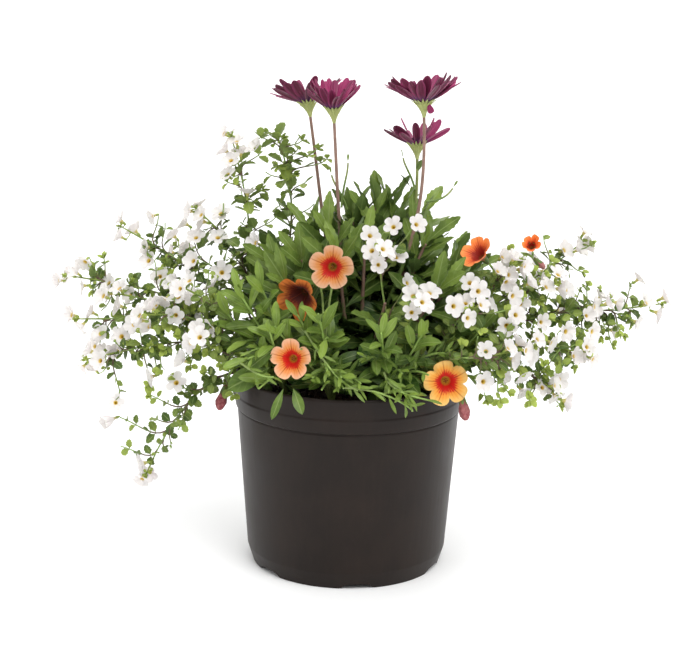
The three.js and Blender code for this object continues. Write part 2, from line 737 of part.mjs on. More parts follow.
function calibrachoaBlooms(name, blooms) {
  blooms.forEach((bloom, i) => {
    const node = name + (bloom.faded ? "_faded_bloom_" : "_bloom_") + (i + 1);
    const solid = bloom.faded ? fadedBloom(bloom) : openBloom(bloom);
    add(node, remember(node, solid), bloom.faded ? FINISHES.faded : FINISHES.corolla);
  });
}

function calibrachoaStems(plant, { root: at, tips, blooms }) {
  const leaving = plantCrown(plant, at, CALIBRACHOA.crownRadius, 9, tips.length);
  for (const tip of tips) {
    const end = vec(tip);
    const base = leaving(end);
    const flat = end.clone().sub(base).setZ(0).normalize();
    const rise = flat.clone().multiplyScalar(0.35).setZ(0.9).normalize();
    const way = flat.clone().setZ(tip[2] > 225 ? 1.5 : -0.1).normalize();
    const radiusAt = (t) => lerp(CALIBRACHOA.stemRadius, CALIBRACHOA.tipRadius, t);
    plant.stems.push(growStem(plant, base, rise, end, way, radiusAt, { pointed: true }));
  }
  blooms.forEach((bloom, i) => {
    const face = unit(bloom.face);
    const fork = 0.42 + 0.12 * i;
    const length = bloom.faded ? CALIBRACHOA.fadedLength : CALIBRACHOA.tubeLength * (bloom.size ?? 1);
    const end = vec(bloom.at).addScaledVector(face, -length - GAP);
    const away = (stem) => stem.curve.getPoint(fork).distanceTo(end);
    const stem = plant.stems.reduce((a, b) => (away(a) < away(b) ? a : b));
    const radiusAt = (t) => lerp(CALIBRACHOA.pedicelRadius, 1.9, Math.max(0, t * 4 - 3));
    growStem(plant, stem.curve.getPoint(fork), stem.curve.getTangent(fork), end, face, radiusAt);
  });
}

function calibrachoaLeaves(plant) {
  plant.stems.forEach((stem, number) => {
    const length = stem.curve.getLength();
    const first = Math.min(0.24, 24 / length);
    const count = Math.floor(((1 - first) * length) / CALIBRACHOA.leafSpacing);
    for (let i = 0; i < count; i++) {
      const share = i / Math.max(1, count - 1);
      const size = CALIBRACHOA.leafLength * (0.85 + 0.3 * plant.random()) * lerp(1.1, 0.8, share);
      const width = CALIBRACHOA.leafHalfWidth * lerp(1.1, 0.85, share);
      const shape = blade(size, width, CALIBRACHOA_LEAF, { droop: 0.1, ridge: 1.1 });
      const turn = i * GOLDEN + number * 2 + plant.random();
      growLeaf(plant, stem, lerp(first, 0.97, share), turn, lerp(70, 30, share), shape);
    }
  });
}

// ---------------------------------------------------------------- bacopa

const BACOPA_LEAF = [[0.2, 0.82], [0.48, 1], [0.58, 0.74]];

// A five-lobed white flower: a shallow dish on a thin tube that runs back to its stalk.
function whiteFlower(centre, face, foot, radius, turn) {
  const frame = frameAt(centre, face, Math.abs(face.z) > 0.9 ? new THREE.Vector3(1, 0, 0) : UP);
  const rings = [
    ring(3, BACOPA.pedicelRadius, -0.42 * radius, { turn }),
    ring(10, radius, 0, { period: 2, notch: 0.66, lift: -0.6, turn }),
  ];
  const inPlace = (point) => point.applyMatrix4(frame);
  rings.flat().forEach(inPlace);
  return skin(rings, foot.clone(), inPlace(new THREE.Vector3(-0.06 * radius, 0, 0)));
}

// A posy: flowers set in a spiral along a thin spine, facing outwards.
function posyOf(spray, outwards, random) {
  const way = unit(spray.way);
  const start = vec(spray.at).addScaledVector(way, -spray.spine / 2);
  const spine = new THREE.LineCurve3(start, vec(spray.at).addScaledVector(way, spray.spine / 2));
  const parts = [tube(spine, () => BACOPA.spineRadius, { steps: 1 })];
  const guide = Math.abs(way.z) > 0.9 ? new THREE.Vector3(0, -1, 0) : UP;
  const side = guide.clone().cross(way).normalize();
  for (let i = 0; i < spray.flowers; i++) {
    const foot = spine.getPoint(lerp(0.3, 0.96, i / (spray.flowers - 1)));
    const stretch = 0.85 + 0.4 * random();
    const radius = BACOPA.flowerRadius * (0.88 + 0.2 * random());
    const twist = random() * Math.PI;
    for (let tries = 0; tries < 12; tries++) {
      const turn = i * GOLDEN + spray.at[0] + tries * 0.52;
      const out = side.clone().applyAxisAngle(way, turn).addScaledVector(way, 0.35);
      out.addScaledVector(outwards, 0.55).normalize();
      const centre = foot.clone().addScaledVector(out, BACOPA.pedicel * (stretch + tries * 0.07));
      const face = out.clone().addScaledVector(outwards, 0.8).add(new THREE.Vector3(0, -0.15, 0.25));
      const flower = whiteFlower(centre, face.normalize(), foot, radius, twist);
      const clear = parts.slice(1).every((other) => flower.intersect(other).volume() === 0);
      if (!clear && tries < 11) continue;
      parts.push(flower);
      break;
    }
  }
  return fuse(parts);
}

function bacopaPosies(name, sprays, random) {
  sprays.forEach((spray, i) => {
    if (!spray.flowers) return;
    const node = name + "_flowers_" + (i + 1);
    const outwards = new THREE.Vector3(spray.at[0], spray.at[1] - 20, (spray.at[2] - 210) * 0.7);
    add(node, remember(node, posyOf(spray, outwards.normalize(), random)), FINISHES.white);
  });
}

function bacopaStems(plant, { root: at, sprays }) {
  const leaving = plantCrown(plant, at, BACOPA.crownRadius, 14, sprays.length, BACOPA.knobRadius);
  for (const { at: middle, way: towards, spine, flowers } of sprays) {
    const way = unit(towards);
    const end = vec(middle).addScaledVector(way, -spine / 2 - GAP);
    const base = leaving(end);
    const rise = end.clone().sub(base).setZ(0).normalize().multiplyScalar(0.5);
    rise.setZ(end.z > 260 || end.z < POT.height ? 0.96 : 0.66).normalize();
    const radiusAt = (t) => lerp(BACOPA.stemRadius, BACOPA.tipRadius, t);
    plant.stems.push(growStem(plant, base, rise, end, way, radiusAt, { pointed: !flowers }));
  }
}

function bacopaLeaves(plant, { sprays }) {
  plant.stems.forEach((stem, number) => {
    const length = stem.curve.getLength();
    const first = Math.min(0.32, 36 / length);
    const spacing = sprays[number].flowers ? BACOPA.leafSpacing : BACOPA.leafSpacing / 1.7;
    const count = Math.floor(((1 - first) * length) / spacing);
    for (let i = 0; i < count; i++) {
      const share = i / Math.max(1, count - 1);
      const size = BACOPA.leafLength * (0.8 + 0.35 * plant.random()) * lerp(1.15, 0.85, share);
      const shape = roundLeaf(size, (BACOPA.leafHalfWidth * size) / BACOPA.leafLength, BACOPA_LEAF);
      const turn = i * Math.PI * 0.5 + number + plant.random() * 0.6;
      growLeaf(plant, stem, lerp(first, 0.97, share), turn, 66, shape);
    }
  });
}

// ---------------------------------------------------------------- putting it together

// Blooms come first, then the stems that reach them, the soil with its holes, and last the leaves,
// which are bent clear of all that stands there.
const pot = remember("pot", potSolid());

const daisy = newPlant("daisy_leafy_stems", 11);
const calibrachoas = CALIBRACHOAS.map((plan, i) => newPlant(plan.name + "_stems", 31 + i));
const bacopas = BACOPAS.map((plan, i) => newPlant(plan.name + "_stems", 71 + i));

daisyBlooms(daisy);
CALIBRACHOAS.forEach(({ name, blooms }) => calibrachoaBlooms(name, blooms));
BACOPAS.forEach(({ name, sprays }, i) => bacopaPosies(name, sprays, bacopas[i].random));

daisyStems(daisy);
CALIBRACHOAS.forEach((plan, i) => calibrachoaStems(calibrachoas[i], plan));
BACOPAS.forEach((plan, i) => bacopaStems(bacopas[i], plan));

const soil = remember("soil", soilSolid(holes));

daisyLeaves(daisy);
calibrachoas.forEach(calibrachoaLeaves);
BACOPAS.forEach((plan, i) => bacopaLeaves(bacopas[i], plan));

add("pot", pot, FINISHES.pot);
add("soil", soil, FINISHES.soil);
add(daisy.node, fuse(daisy.parts), FINISHES.daisyGreen);
calibrachoas.forEach(({ node, parts }) => add(node, fuse(parts), FINISHES.calibrachoaGreen));
bacopas.forEach(({ node, parts }) => add(node, fuse(parts), FINISHES.bacopaGreen));

export default root;
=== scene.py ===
"""A planted patio pot, dressed for its portrait.

A round blow-moulded nursery pot holds an African daisy, five calibrachoas and six trailing bacopas.
The planting plan, the stems' curves and the rules that place leaves and flowers are those of the
solids; here every leaf, petal and stem is made finer, and the foliage is filled out.

Measures are millimetres, and degrees where a name says so, until Piece.build turns them into metres.
"""

from __future__ import annotations

import logging
import math
from collections.abc import Sequence
from dataclasses import dataclass, field, replace
from enum import Enum
from functools import lru_cache

import bpy
import numpy as np
from mathutils import Matrix

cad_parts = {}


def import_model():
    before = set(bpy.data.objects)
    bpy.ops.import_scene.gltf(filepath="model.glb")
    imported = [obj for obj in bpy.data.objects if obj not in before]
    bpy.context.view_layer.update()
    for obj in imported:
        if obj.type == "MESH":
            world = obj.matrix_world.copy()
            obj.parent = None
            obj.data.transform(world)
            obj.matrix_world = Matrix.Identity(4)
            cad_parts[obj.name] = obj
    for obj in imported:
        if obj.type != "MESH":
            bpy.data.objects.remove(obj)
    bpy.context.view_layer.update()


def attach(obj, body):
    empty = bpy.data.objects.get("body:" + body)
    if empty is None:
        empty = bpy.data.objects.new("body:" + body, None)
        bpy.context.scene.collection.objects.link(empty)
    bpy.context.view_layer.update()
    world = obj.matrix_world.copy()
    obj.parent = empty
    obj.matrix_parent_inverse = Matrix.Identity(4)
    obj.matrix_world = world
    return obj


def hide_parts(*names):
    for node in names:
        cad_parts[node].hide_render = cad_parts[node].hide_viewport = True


LOG = logging.getLogger("planted_patio_pot")

MM = 0.001
WORD = 0xFFFFFFFF
TURN = 2 * math.pi
GOLDEN = math.pi * (3 - math.sqrt(5))  # the angle between leaves that follow each other in a spiral
UP = np.array([0.0, 0.0, 1.0])
SHARP = math.radians(62)  # faces that meet at more than this keep a crisp edge

Vec = np.ndarray
Triple = tuple[float, float, float]


# ---------------------------------------------------------------- measures and directions


def vec(values: Sequence[float]) -> Vec:
    """Turn a triple into a vector."""
    return np.array(values, float)


def unit(values: Sequence[float]) -> Vec:
    """Scale a vector to length 1."""
    return np.asarray(values, float) / np.linalg.norm(values)


def lerp(a: float | Vec, b: float | Vec, t: float | Vec) -> float | Vec:
    """Go from a to b by the share t."""
    return a + (b - a) * t


def ease(t: float | Vec) -> float | Vec:
    """Ease a share in and out between 0 and 1."""
    t = np.clip(t, 0, 1)
    return t * t * (3 - 2 * t)


def spun(v: Vec, axis: Vec, angle: float) -> Vec:
    """Turn a vector about a unit axis by an angle in radians."""
    turned = v * math.cos(angle) + np.cross(axis, v) * math.sin(angle)
    return turned + axis * (axis @ v) * (1 - math.cos(angle))


def spoke_at(angle: float) -> Vec:
    """Give the direction at right angles to x, at an angle in radians about it."""
    return vec((0, math.cos(angle), math.sin(angle)))


def level(v: Vec) -> Vec:
    """Give the level direction of a vector."""
    return unit((v[0], v[1], 0.0))


def ring_at(radius: float | Vec, angle: Vec, height: float | Vec) -> Vec:
    """Lay a ring of points round the pot's axis, at those angles in radians."""
    return np.column_stack([radius * np.cos(angle), radius * np.sin(angle), height + 0 * angle])


class Draws:
    """The seeded stream of numbers from 0 to 1 that places the solids' leaves and flowers."""

    def __init__(self, seed: int) -> None:
        """Start the stream of one plant."""
        self.state = (seed * 2654435761) & WORD

    def __call__(self) -> float:
        """Draw the next number.

        Returns:
            The number.
        """
        self.state = (self.state + 0x6D2B79F5) & WORD
        t = self.state
        t = ((t ^ (t >> 15)) * (t | 1)) & WORD
        t ^= (t + (((t ^ (t >> 7)) * (t | 61)) & WORD)) & WORD
        return ((t ^ (t >> 14)) & WORD) / (WORD + 1)


@dataclass(frozen=True)
class Frame:
    """A place for a shape: its origin, and its x, y and z directions as rows."""

    origin: Vec
    axes: Vec

    @classmethod
    def at(cls, origin: Sequence[float], along: Sequence[float], side: Sequence[float]) -> Frame:
        """Stand a frame at a point.

        Args:
            origin: Where it stands.
            along: The direction of its x axis.
            side: The direction that its z axis comes as near to as it can.

        Returns:
            The frame.
        """
        x = unit(along)
        if abs(unit(side) @ x) > 0.999:
            side = (1.0, 0.2, 0.0)
        y = unit(np.cross(side, x))
        return cls(vec(origin), np.array([x, y, np.cross(x, y)]))

    def put(self, points: Vec, size: float = 1.0) -> Vec:
        """Give where points of a shape lie once it stands in this frame."""
        return self.origin + (points * size) @ self.axes

    def carry(self, local: Frame) -> Frame:
        """Give where a frame lies that is laid out within this one."""
        return Frame(self.put(local.origin), local.axes @ self.axes)


@dataclass(frozen=True)
class Curve:
    """A stem's line: a cubic Bezier curve through four knots."""

    knots: Vec

    @classmethod
    def through(cls, *knots: Sequence[float]) -> Curve:
        """Lay a curve through its four knots."""
        return cls(np.array(knots, float))

    @classmethod
    def stem(cls, start: Vec, rise: Vec, end: Vec, way: Vec, bend: int = 0) -> Curve:
        """Lay a stem from a crown to its end.

        Args:
            start: Where it leaves the crown.
            rise: The direction in which it leaves.
            end: Where it ends.
            way: The direction in which it ends.
            bend: How many steps its middle is moved out of the way of other stems.

        Returns:
            The stem's curve.
        """
        reach = float(np.linalg.norm(end - start))
        shift = np.array([math.cos(bend * GOLDEN), math.sin(bend * GOLDEN), 0.5])
        shift = shift * reach * 0.028 * math.sqrt(bend)
        lift = start + rise * reach * 0.5 + shift
        back = end - way * reach * 0.42 + shift * 1.4
        return cls.through(start, lift, back, end)

    def point(self, t: float) -> Vec:
        """Give the point at the share t of the curve.

        Args:
            t: The share.

        Returns:
            The point.
        """
        a, b, c, d = self.knots
        s = 1 - t
        return a * s**3 + 3 * b * s * s * t + 3 * c * s * t * t + d * t**3

    def tangent(self, t: float) -> Vec:
        """Give the direction of the curve at the share t.

        Args:
            t: The share.

        Returns:
            The direction.
        """
        a, b, c, d = self.knots
        s = 1 - t
        return unit(3 * (b - a) * s * s + 6 * (c - b) * s * t + 3 * (d - c) * t * t + 1e-9)

    def length(self) -> float:
        """Measure the curve."""
        points = np.array([self.point(t) for t in np.linspace(0, 1, 33)])
        return float(np.linalg.norm(np.diff(points, axis=0), axis=1).sum())


# ---------------------------------------------------------------- shapes


@dataclass(frozen=True)
class Shape:
    """A closed skin, with what its finish reads at each point: share along, share across, underside."""

    points: Vec
    faces: Sequence[tuple[int, ...]]
    reads: Vec


def skin(rings: Vec, reads: Vec, first: Vec, last: Vec) -> Shape:
    """Close a skin over rings of points that follow each other.

    Args:
        rings: Rings by points by 3, each ring turning the same way.
        reads: What the finish reads at those points, in the same layout.
        first: The point that closes the first ring.
        last: The point that closes the last ring.

    Returns:
        The skin.
    """
    count, around = rings.shape[:2]
    points = np.vstack([rings.reshape(-1, 3), first, last])
    ends = [reads[0].mean(axis=0), reads[-1].mean(axis=0)]
    return Shape(points, skin_faces(count, around), np.vstack([reads.reshape(-1, 3), *ends]))


@lru_cache(maxsize=64)
def skin_faces(count: int, around: int) -> tuple[tuple[int, ...], ...]:
    """List the faces of a skin over a number of rings, closed by a point at each end.

    Args:
        count: How many rings.
        around: How many points in each.

    Returns:
        The corners of each face.
    """
    faces = []
    for i in range(count - 1):
        for j in range(around):
            a, b = i * around + j, i * around + (j + 1) % around
            faces.append((a, b, b + around, a + around))
    start, end, last = count * around, count * around + 1, (count - 1) * around
    for j in range(around):
        k = (j + 1) % around
        faces.append((k, j, start))
        faces.append((last + j, last + k, end))
    return tuple(faces)


@dataclass(frozen=True)
class Tube:
    """A stem's skin along a curve: its radius at both ends, facets round it, length between rings."""

    start_radius: float
    end_radius: float
    sides: int = 6
    step: float = 7.0

    def shape(self, curve: Curve, start: float = 0.0, end: float = 1.0) -> Shape:
        """Wrap the tube round a curve between two shares of it.

        Args:
            curve: The curve.
            start: The share where it starts.
            end: And where it ends.

        Returns:
            Its skin.
        """
        count = max(3, round(curve.length() * (end - start) / self.step))
        side = vec((0.31, -0.95, 0.05))
        rings, reads = [], []
        for i in range(count + 1):
            t = lerp(start, end, i / count)
            along = curve.tangent(t)
            side = unit(side - along * (side @ along))
            over = np.cross(along, side)
            angles = np.arange(self.sides) / self.sides * TURN
            radius = lerp(self.start_radius, self.end_radius, i / count)
            spokes = np.outer(np.cos(angles), side) + np.outer(np.sin(angles), over)
            rings.append(curve.point(t) + spokes * radius)
            reads.append(np.column_stack([np.full(self.sides, t), angles, np.zeros(self.sides)]))
        return skin(np.array(rings), np.array(reads), curve.point(start), curve.point(end))


@dataclass(frozen=True)
class Blade:
    """A thin leaf, ray or sepal along x with its upper face towards z.

    Args:
        length: From its foot to its tip.
        half_width: At its broadest.
        shoulder: The larger, the nearer to the tip it is broadest.
        blunt: The smaller, the rounder its tip.
        stalk: The share of its length that is stalk.
        neck: The stalk's share of the width.
        rows: Faces along it.
        columns: Faces across it, an even number.
        teeth: How far its edge is cut in between teeth, as a share of the width.
        thickness: In the middle.
        fold: How far each half rises from the rib, in degrees.
        droop: How far it bends down along its length, in degrees.
        twist: How far it turns about its rib, in degrees.
        sway: How far its tip stands to the side, as a share of its length.
        wave: How far its edge waves, as a share of the width.
    """

    length: float
    half_width: float
    shoulder: float = 1.2
    blunt: float = 0.6
    stalk: float = 0.1
    neck: float = 0.12
    rows: int = 8
    columns: int = 4
    teeth: float = 0.0
    thickness: float = 0.5
    fold: float = 14.0
    droop: float = 30.0
    twist: float = 0.0
    sway: float = 0.0
    wave: float = 0.0

    def width_at(self, t: Vec) -> Vec:
        """Give the half width at shares of the length.

        Args:
            t: The shares.

        Returns:
            The half widths.
        """
        peak = self.shoulder / (self.shoulder + self.blunt)
        u = np.clip((t - self.stalk) / (1 - self.stalk), 0, 1)
        body = (u / peak) ** self.shoulder * ((1 - u) / (1 - peak)) ** self.blunt
        return self.half_width * np.maximum(body, self.neck * (t < 0.5))

    def shape(self) -> Shape:
        """Make the blade's skin, thin at its edges.

        Returns:
            Its skin.
        """
        crowd = min(1.0, max(0.25, 1.35 - 1.2 * self.blunt))
        u = np.arange(1, self.rows) / self.rows
        t = lerp(u, np.sin(u * math.pi / 2), crowd)[:, None]
        s = np.linspace(-1, 1, self.columns + 1)[None, :]
        cut = 1 - self.teeth * (np.arange(1, self.rows) % 2 == 0)[:, None] * np.abs(s) ** 4
        across = self.width_at(t) * s * cut
        ripple = np.sin(t * 13 + (s < 0) * 2.1) * np.abs(s) ** 3
        rise = np.abs(across) * math.tan(math.radians(self.fold))
        rise = rise + self.wave * self.width_at(t) * ripple
        turn = math.radians(self.twist) * t
        y = across * np.cos(turn) - rise * np.sin(turn) + self.sway * self.length * t * t
        n = across * np.sin(turn) + rise * np.cos(turn)
        bend = math.radians(self.droop) or 1e-6
        cx, cz = self.length * np.sin(bend * t) / bend, -self.length * (1 - np.cos(bend * t)) / bend
        nx, nz = np.sin(bend * t), np.cos(bend * t)
        upper = np.stack([cx + nx * n, y, cz + nz * n], axis=-1)
        lower = upper[:, 1:-1] - self.thickness * np.stack([nx, 0 * nx, nz], axis=-1)
        tip = [self.length * math.sin(bend) / bend, self.sway * self.length]
        tip.append(-self.length * (1 - math.cos(bend)) / bend)
        points = np.vstack([[0, 0, 0], upper.reshape(-1, 3), tip, lower.reshape(-1, 3)])
        edge = 0.5 * (np.abs(s) == 1)
        top_reads = np.stack(np.broadcast_arrays(t, s, edge), axis=-1)
        low_reads = np.stack(np.broadcast_arrays(t, s[:, 1:-1], 1.0), axis=-1)
        ends = [[0, 0, 0], [1, 0, 0]]
        reads = np.vstack([ends[0], top_reads.reshape(-1, 3), ends[1], low_reads.reshape(-1, 3)])
        return Shape(points, blade_faces(self.rows, self.columns), reads)

    def varied(self, rng: np.random.Generator, size: float = 1.0) -> Blade:
        """Give this blade as one leaf among many, each bent a little in its own way.

        Args:
            rng: The draws for its bends.
            size: A factor on its size.

        Returns:
            The blade.
        """
        return replace(
            self,
            length=self.length * size,
            half_width=self.half_width * size * rng.uniform(0.88, 1.1),
            fold=self.fold * rng.uniform(0.5, 1.4),
            droop=self.droop * rng.uniform(0.3, 1.5) + rng.uniform(-8, 8),
            twist=rng.normal(0, 14),
            sway=rng.normal(0, 0.07),
        )


@lru_cache(maxsize=64)
def blade_faces(rows: int, columns: int) -> tuple[tuple[int, ...], ...]:
    """List the faces of a blade: two sheets that share their edge, their foot and their tip.

    Args:
        rows: Faces along it.
        columns: Faces across it.

    Returns:
        The corners of each face.
    """
    tip = 1 + (rows - 1) * (columns + 1)

    def upper(i: int, j: int) -> int:
        return 1 + (i - 1) * (columns + 1) + j

    def lower(i: int, j: int) -> int:
        inner = tip + 1 + (i - 1) * (columns - 1) + j - 1
        return inner if 0 < j < columns else upper(i, j)

    faces = []
    for j in range(columns):
        for i in range(1, rows - 1):
            faces.append((upper(i, j), upper(i + 1, j), upper(i + 1, j + 1), upper(i, j + 1)))
            faces.append((lower(i, j), lower(i, j + 1), lower(i + 1, j + 1), lower(i + 1, j)))
        last = rows - 1
        faces += [(0, upper(1, j), upper(1, j + 1)), (0, lower(1, j + 1), lower(1, j))]
        faces += [(upper(last, j), tip, upper(last, j + 1)), (lower(last, j), lower(last, j + 1), tip)]
    return tuple(faces)


@dataclass(frozen=True)
class Corolla:
    """A flower grown in one piece about x: a tube that flares into lobes.

    Args:
        outside: Radius and x along its outside, from the tube's end to just short of the rim.
        rim: Radius and x of the rim.
        inside: Radius and x back along its inside, down into the throat.
        lobes: How many lobes it has.
        notch: How far in the lobes part, as a share of the radius.
        roundness: The larger, the squarer each lobe.
        setback: How far the notches lie behind the lobes.
        ruffle: How far the rim waves.
        steps: Facets round each lobe.
    """

    outside: tuple[tuple[float, float], ...]
    rim: tuple[float, float]
    inside: tuple[tuple[float, float], ...]
    lobes: int = 5
    notch: float = 0.2
    roundness: float = 3.0
    setback: float = 1.5
    ruffle: float = 0.5
    steps: int = 10

    def cupped(self, deep: float) -> Corolla:
        """Give this flower with its lobes bent forwards, by so many millimetres at the rim.

        Args:
            deep: How far.

        Returns:
            The flower.
        """

        def bent(radius: float, x: float) -> tuple[float, float]:
            share = (radius / self.rim[0]) ** 2
            return radius * (1 - 0.03 * deep * share * 9.4 / self.rim[0]), x + deep * share

        return replace(
            self,
            outside=tuple(bent(*row) for row in self.outside),
            rim=bent(*self.rim),
            inside=tuple(bent(*row) for row in self.inside),
        )

    def shape(self, rng: np.random.Generator, turn: float = 0.0) -> Shape:
        """Make the flower, each one ruffled in its own way.

        Args:
            rng: The draws for its ruffles.
            turn: How far it is turned about its own axis, in radians.

        Returns:
            Its skin.
        """
        count = self.lobes * self.steps
        share = np.arange(count) / self.steps
        within = 2 * (share % 1) - 1
        angle = turn + share / self.lobes * TURN
        own = rng.uniform(0.92, 1.06, self.lobes)[np.floor(share).astype(int)]
        own = 1 + (own - 1) * (1 - np.abs(within) ** 3)
        lean = rng.normal(0, 1, self.lobes)[np.floor(share).astype(int)] * (1 - within**2)
        phase = rng.uniform(0, TURN)
        profile = [*self.outside, self.rim, *self.inside]
        rings, reads = [], []
        for k, (radius, x) in enumerate(profile):
            rho = radius / self.rim[0]
            weight = float(ease((rho - 0.3) / 0.7))
            reach = radius * (1 - self.notch * weight * np.abs(within) ** self.roundness)
            reach = reach * (1 + (own - 1) * weight)
            wave = np.sin(angle * 11 + phase) * 0.5 + np.sin(angle * 6 - phase) * 0.5 + lean
            ahead = x - self.setback * weight * np.abs(within) ** 3 + self.ruffle * weight * wave
            ring = np.column_stack([ahead, np.cos(angle) * reach, np.sin(angle) * reach])
            under = float(k < len(self.outside))
            rings.append(ring)
            reads.append(np.column_stack([np.full(count, rho), within, np.full(count, under)]))
        first = vec((self.outside[0][1] - 0.3, 0, 0))
        last = vec((self.inside[-1][1] - 0.2, 0, 0))
        return skin(np.array(rings), np.array(reads), first, last)


def turned(profile: Sequence[tuple[float, float]], sides: int, wobble: Vec | None = None) -> Shape:
    """Turn a profile of radius and x about x.

    Args:
        profile: Radius and x of each ring.
        sides: Facets round it.
        wobble: A factor on the radius of each facet, of each ring or of both.

    Returns:
        Its skin, closed at both ends.
    """
    angle = np.arange(sides) / sides * TURN
    radius, ahead = np.array(profile, float).T
    reach = radius[:, None] * (np.ones(sides) if wobble is None else wobble)
    x = np.broadcast_to(ahead[:, None], reach.shape)
    rings = np.stack([x, reach * np.cos(angle), reach * np.sin(angle)], axis=-1)
    along = np.linspace(0, 1, len(profile))[:, None]
    reads = np.stack(np.broadcast_arrays(along, angle[None, :] / TURN, 0.0), axis=-1)
    return skin(rings, reads, vec((ahead[0], 0, 0)), vec((ahead[-1], 0, 0)))


# ---------------------------------------------------------------- finishes


Tree = bpy.types.NodeTree
Socket = bpy.types.NodeSocket
COLOURS = {"data_type": "RGBA"}
SMOOTH = {"interpolation_type": "SMOOTHSTEP"}


def linear(colour: str) -> tuple[float, float, float, float]:
    """Turn an sRGB hex colour into the linear one that shaders read.

    Args:
        colour: The hex colour.

    Returns:
        Red, green, blue and 1.
    """
    parts = [int(colour[i : i + 2], 16) / 255 for i in (1, 3, 5)]
    red, green, blue = (c / 12.92 if c <= 0.04045 else ((c + 0.055) / 1.055) ** 2.4 for c in parts)
    return red, green, blue, 1.0


def per(size: float) -> float:
    """Give the texture scale, in turns to the metre, of a pattern that repeats every size millimetres."""
    return 1 / (size * MM)


def put(tree: Tree, kind: str, inputs: Sequence | dict = (), **settings: object) -> Socket | None:
    """Add a shader node.

    Args:
        tree: The material's node tree.
        kind: The node's kind, without its ShaderNode prefix.
        inputs: The number, hex colour or socket for each input, by name or in the order of those in use.
        **settings: The node's own settings.

    Returns:
        Its first output in use.
    """
    node = tree.nodes.new("ShaderNode" + kind)
    for name, value in settings.items():
        setattr(node, name, value)
    if not isinstance(inputs, dict):
        inputs = dict(zip([socket.identifier for socket in node.inputs if socket.enabled], inputs))
        sockets = {socket.identifier: socket for socket in node.inputs}
    else:
        sockets = node.inputs
    for name, value in inputs.items():
        if isinstance(value, Socket):
            tree.links.new(value, sockets[name])
        else:
            sockets[name].default_value = linear(value) if isinstance(value, str) else value
    return next((socket for socket in node.outputs if socket.enabled), None)


def fresh(name: str) -> tuple[bpy.types.Material, Tree]:
    """Start a material with an empty node tree.

    Args:
        name: The name of what it is.

    Returns:
        The material and its tree.
    """
    material = bpy.data.materials.new(name)
    material.use_nodes = True
    material.node_tree.nodes.clear()
    return material, material.node_tree


@dataclass(frozen=True)
class Reads:
    """What a plant's finish reads from its mesh: its sockets.

    Args:
        along: The share along, from foot to tip.
        across: The share across, from -1 to 1.
        middle: How far from the rib, from 0 to 1.
        under: 1 on the underside, else 0.
        tone: How young or light it is, from 0 to 1.
        place: The object's own coordinates, in metres.
    """

    along: Socket
    across: Socket
    middle: Socket
    under: Socket
    tone: Socket
    place: Socket

    @classmethod
    def of(cls, tree: Tree) -> Reads:
        """Lay out the nodes that read them.

        Args:
            tree: The material's node tree.

        Returns:
            Their sockets.
        """
        blade = put(tree, "Attribute", attribute_name="blade").node.outputs["Vector"]
        along, across, side = put(tree, "SeparateXYZ", [blade]).node.outputs
        middle = put(tree, "Math", [across], operation="ABSOLUTE")
        under = put(tree, "Math", [side, 0.5], operation="GREATER_THAN")
        tone = put(tree, "Attribute", attribute_name="tone").node.outputs["Fac"]
        return cls(along, across, middle, under, tone, put(tree, "TexCoord").node.outputs["Object"])


@dataclass(frozen=True)
class Finish:
    """The look of one real surface, under the name of what that surface is."""

    name: str

    def surface(self, tree: Tree, read: Reads) -> Socket:
        """Lay out the nodes of the surface and give its shader."""
        raise NotImplementedError

    def material(self) -> bpy.types.Material:
        """Make the material.

        Returns:
            The material.
        """
        material, tree = fresh(self.name)
        put(tree, "OutputMaterial", [self.surface(tree, Reads.of(tree))])
        return material


def tissue(tree: Tree, colour: Socket, glow: Socket, bump: Socket, through: float, **skin_: float) -> Socket:
    """Make living tissue: a thin skin that light also comes through.

    Args:
        tree: The material's node tree.
        colour: The colour of the skin.
        glow: The colour of the light that comes through.
        bump: The relief of both.
        through: The share of the light that comes through.
        **skin_: The skin's other sockets, with low lines for the spaces in their names.

    Returns:
        The shader.
    """
    looks = {name.replace("_", " "): value for name, value in skin_.items()}
    sheet = put(tree, "BsdfPrincipled", {"Base Color": colour, "Normal": bump, **looks})
    return put(tree, "MixShader", [through, sheet, put(tree, "BsdfTranslucent", [glow, bump])])


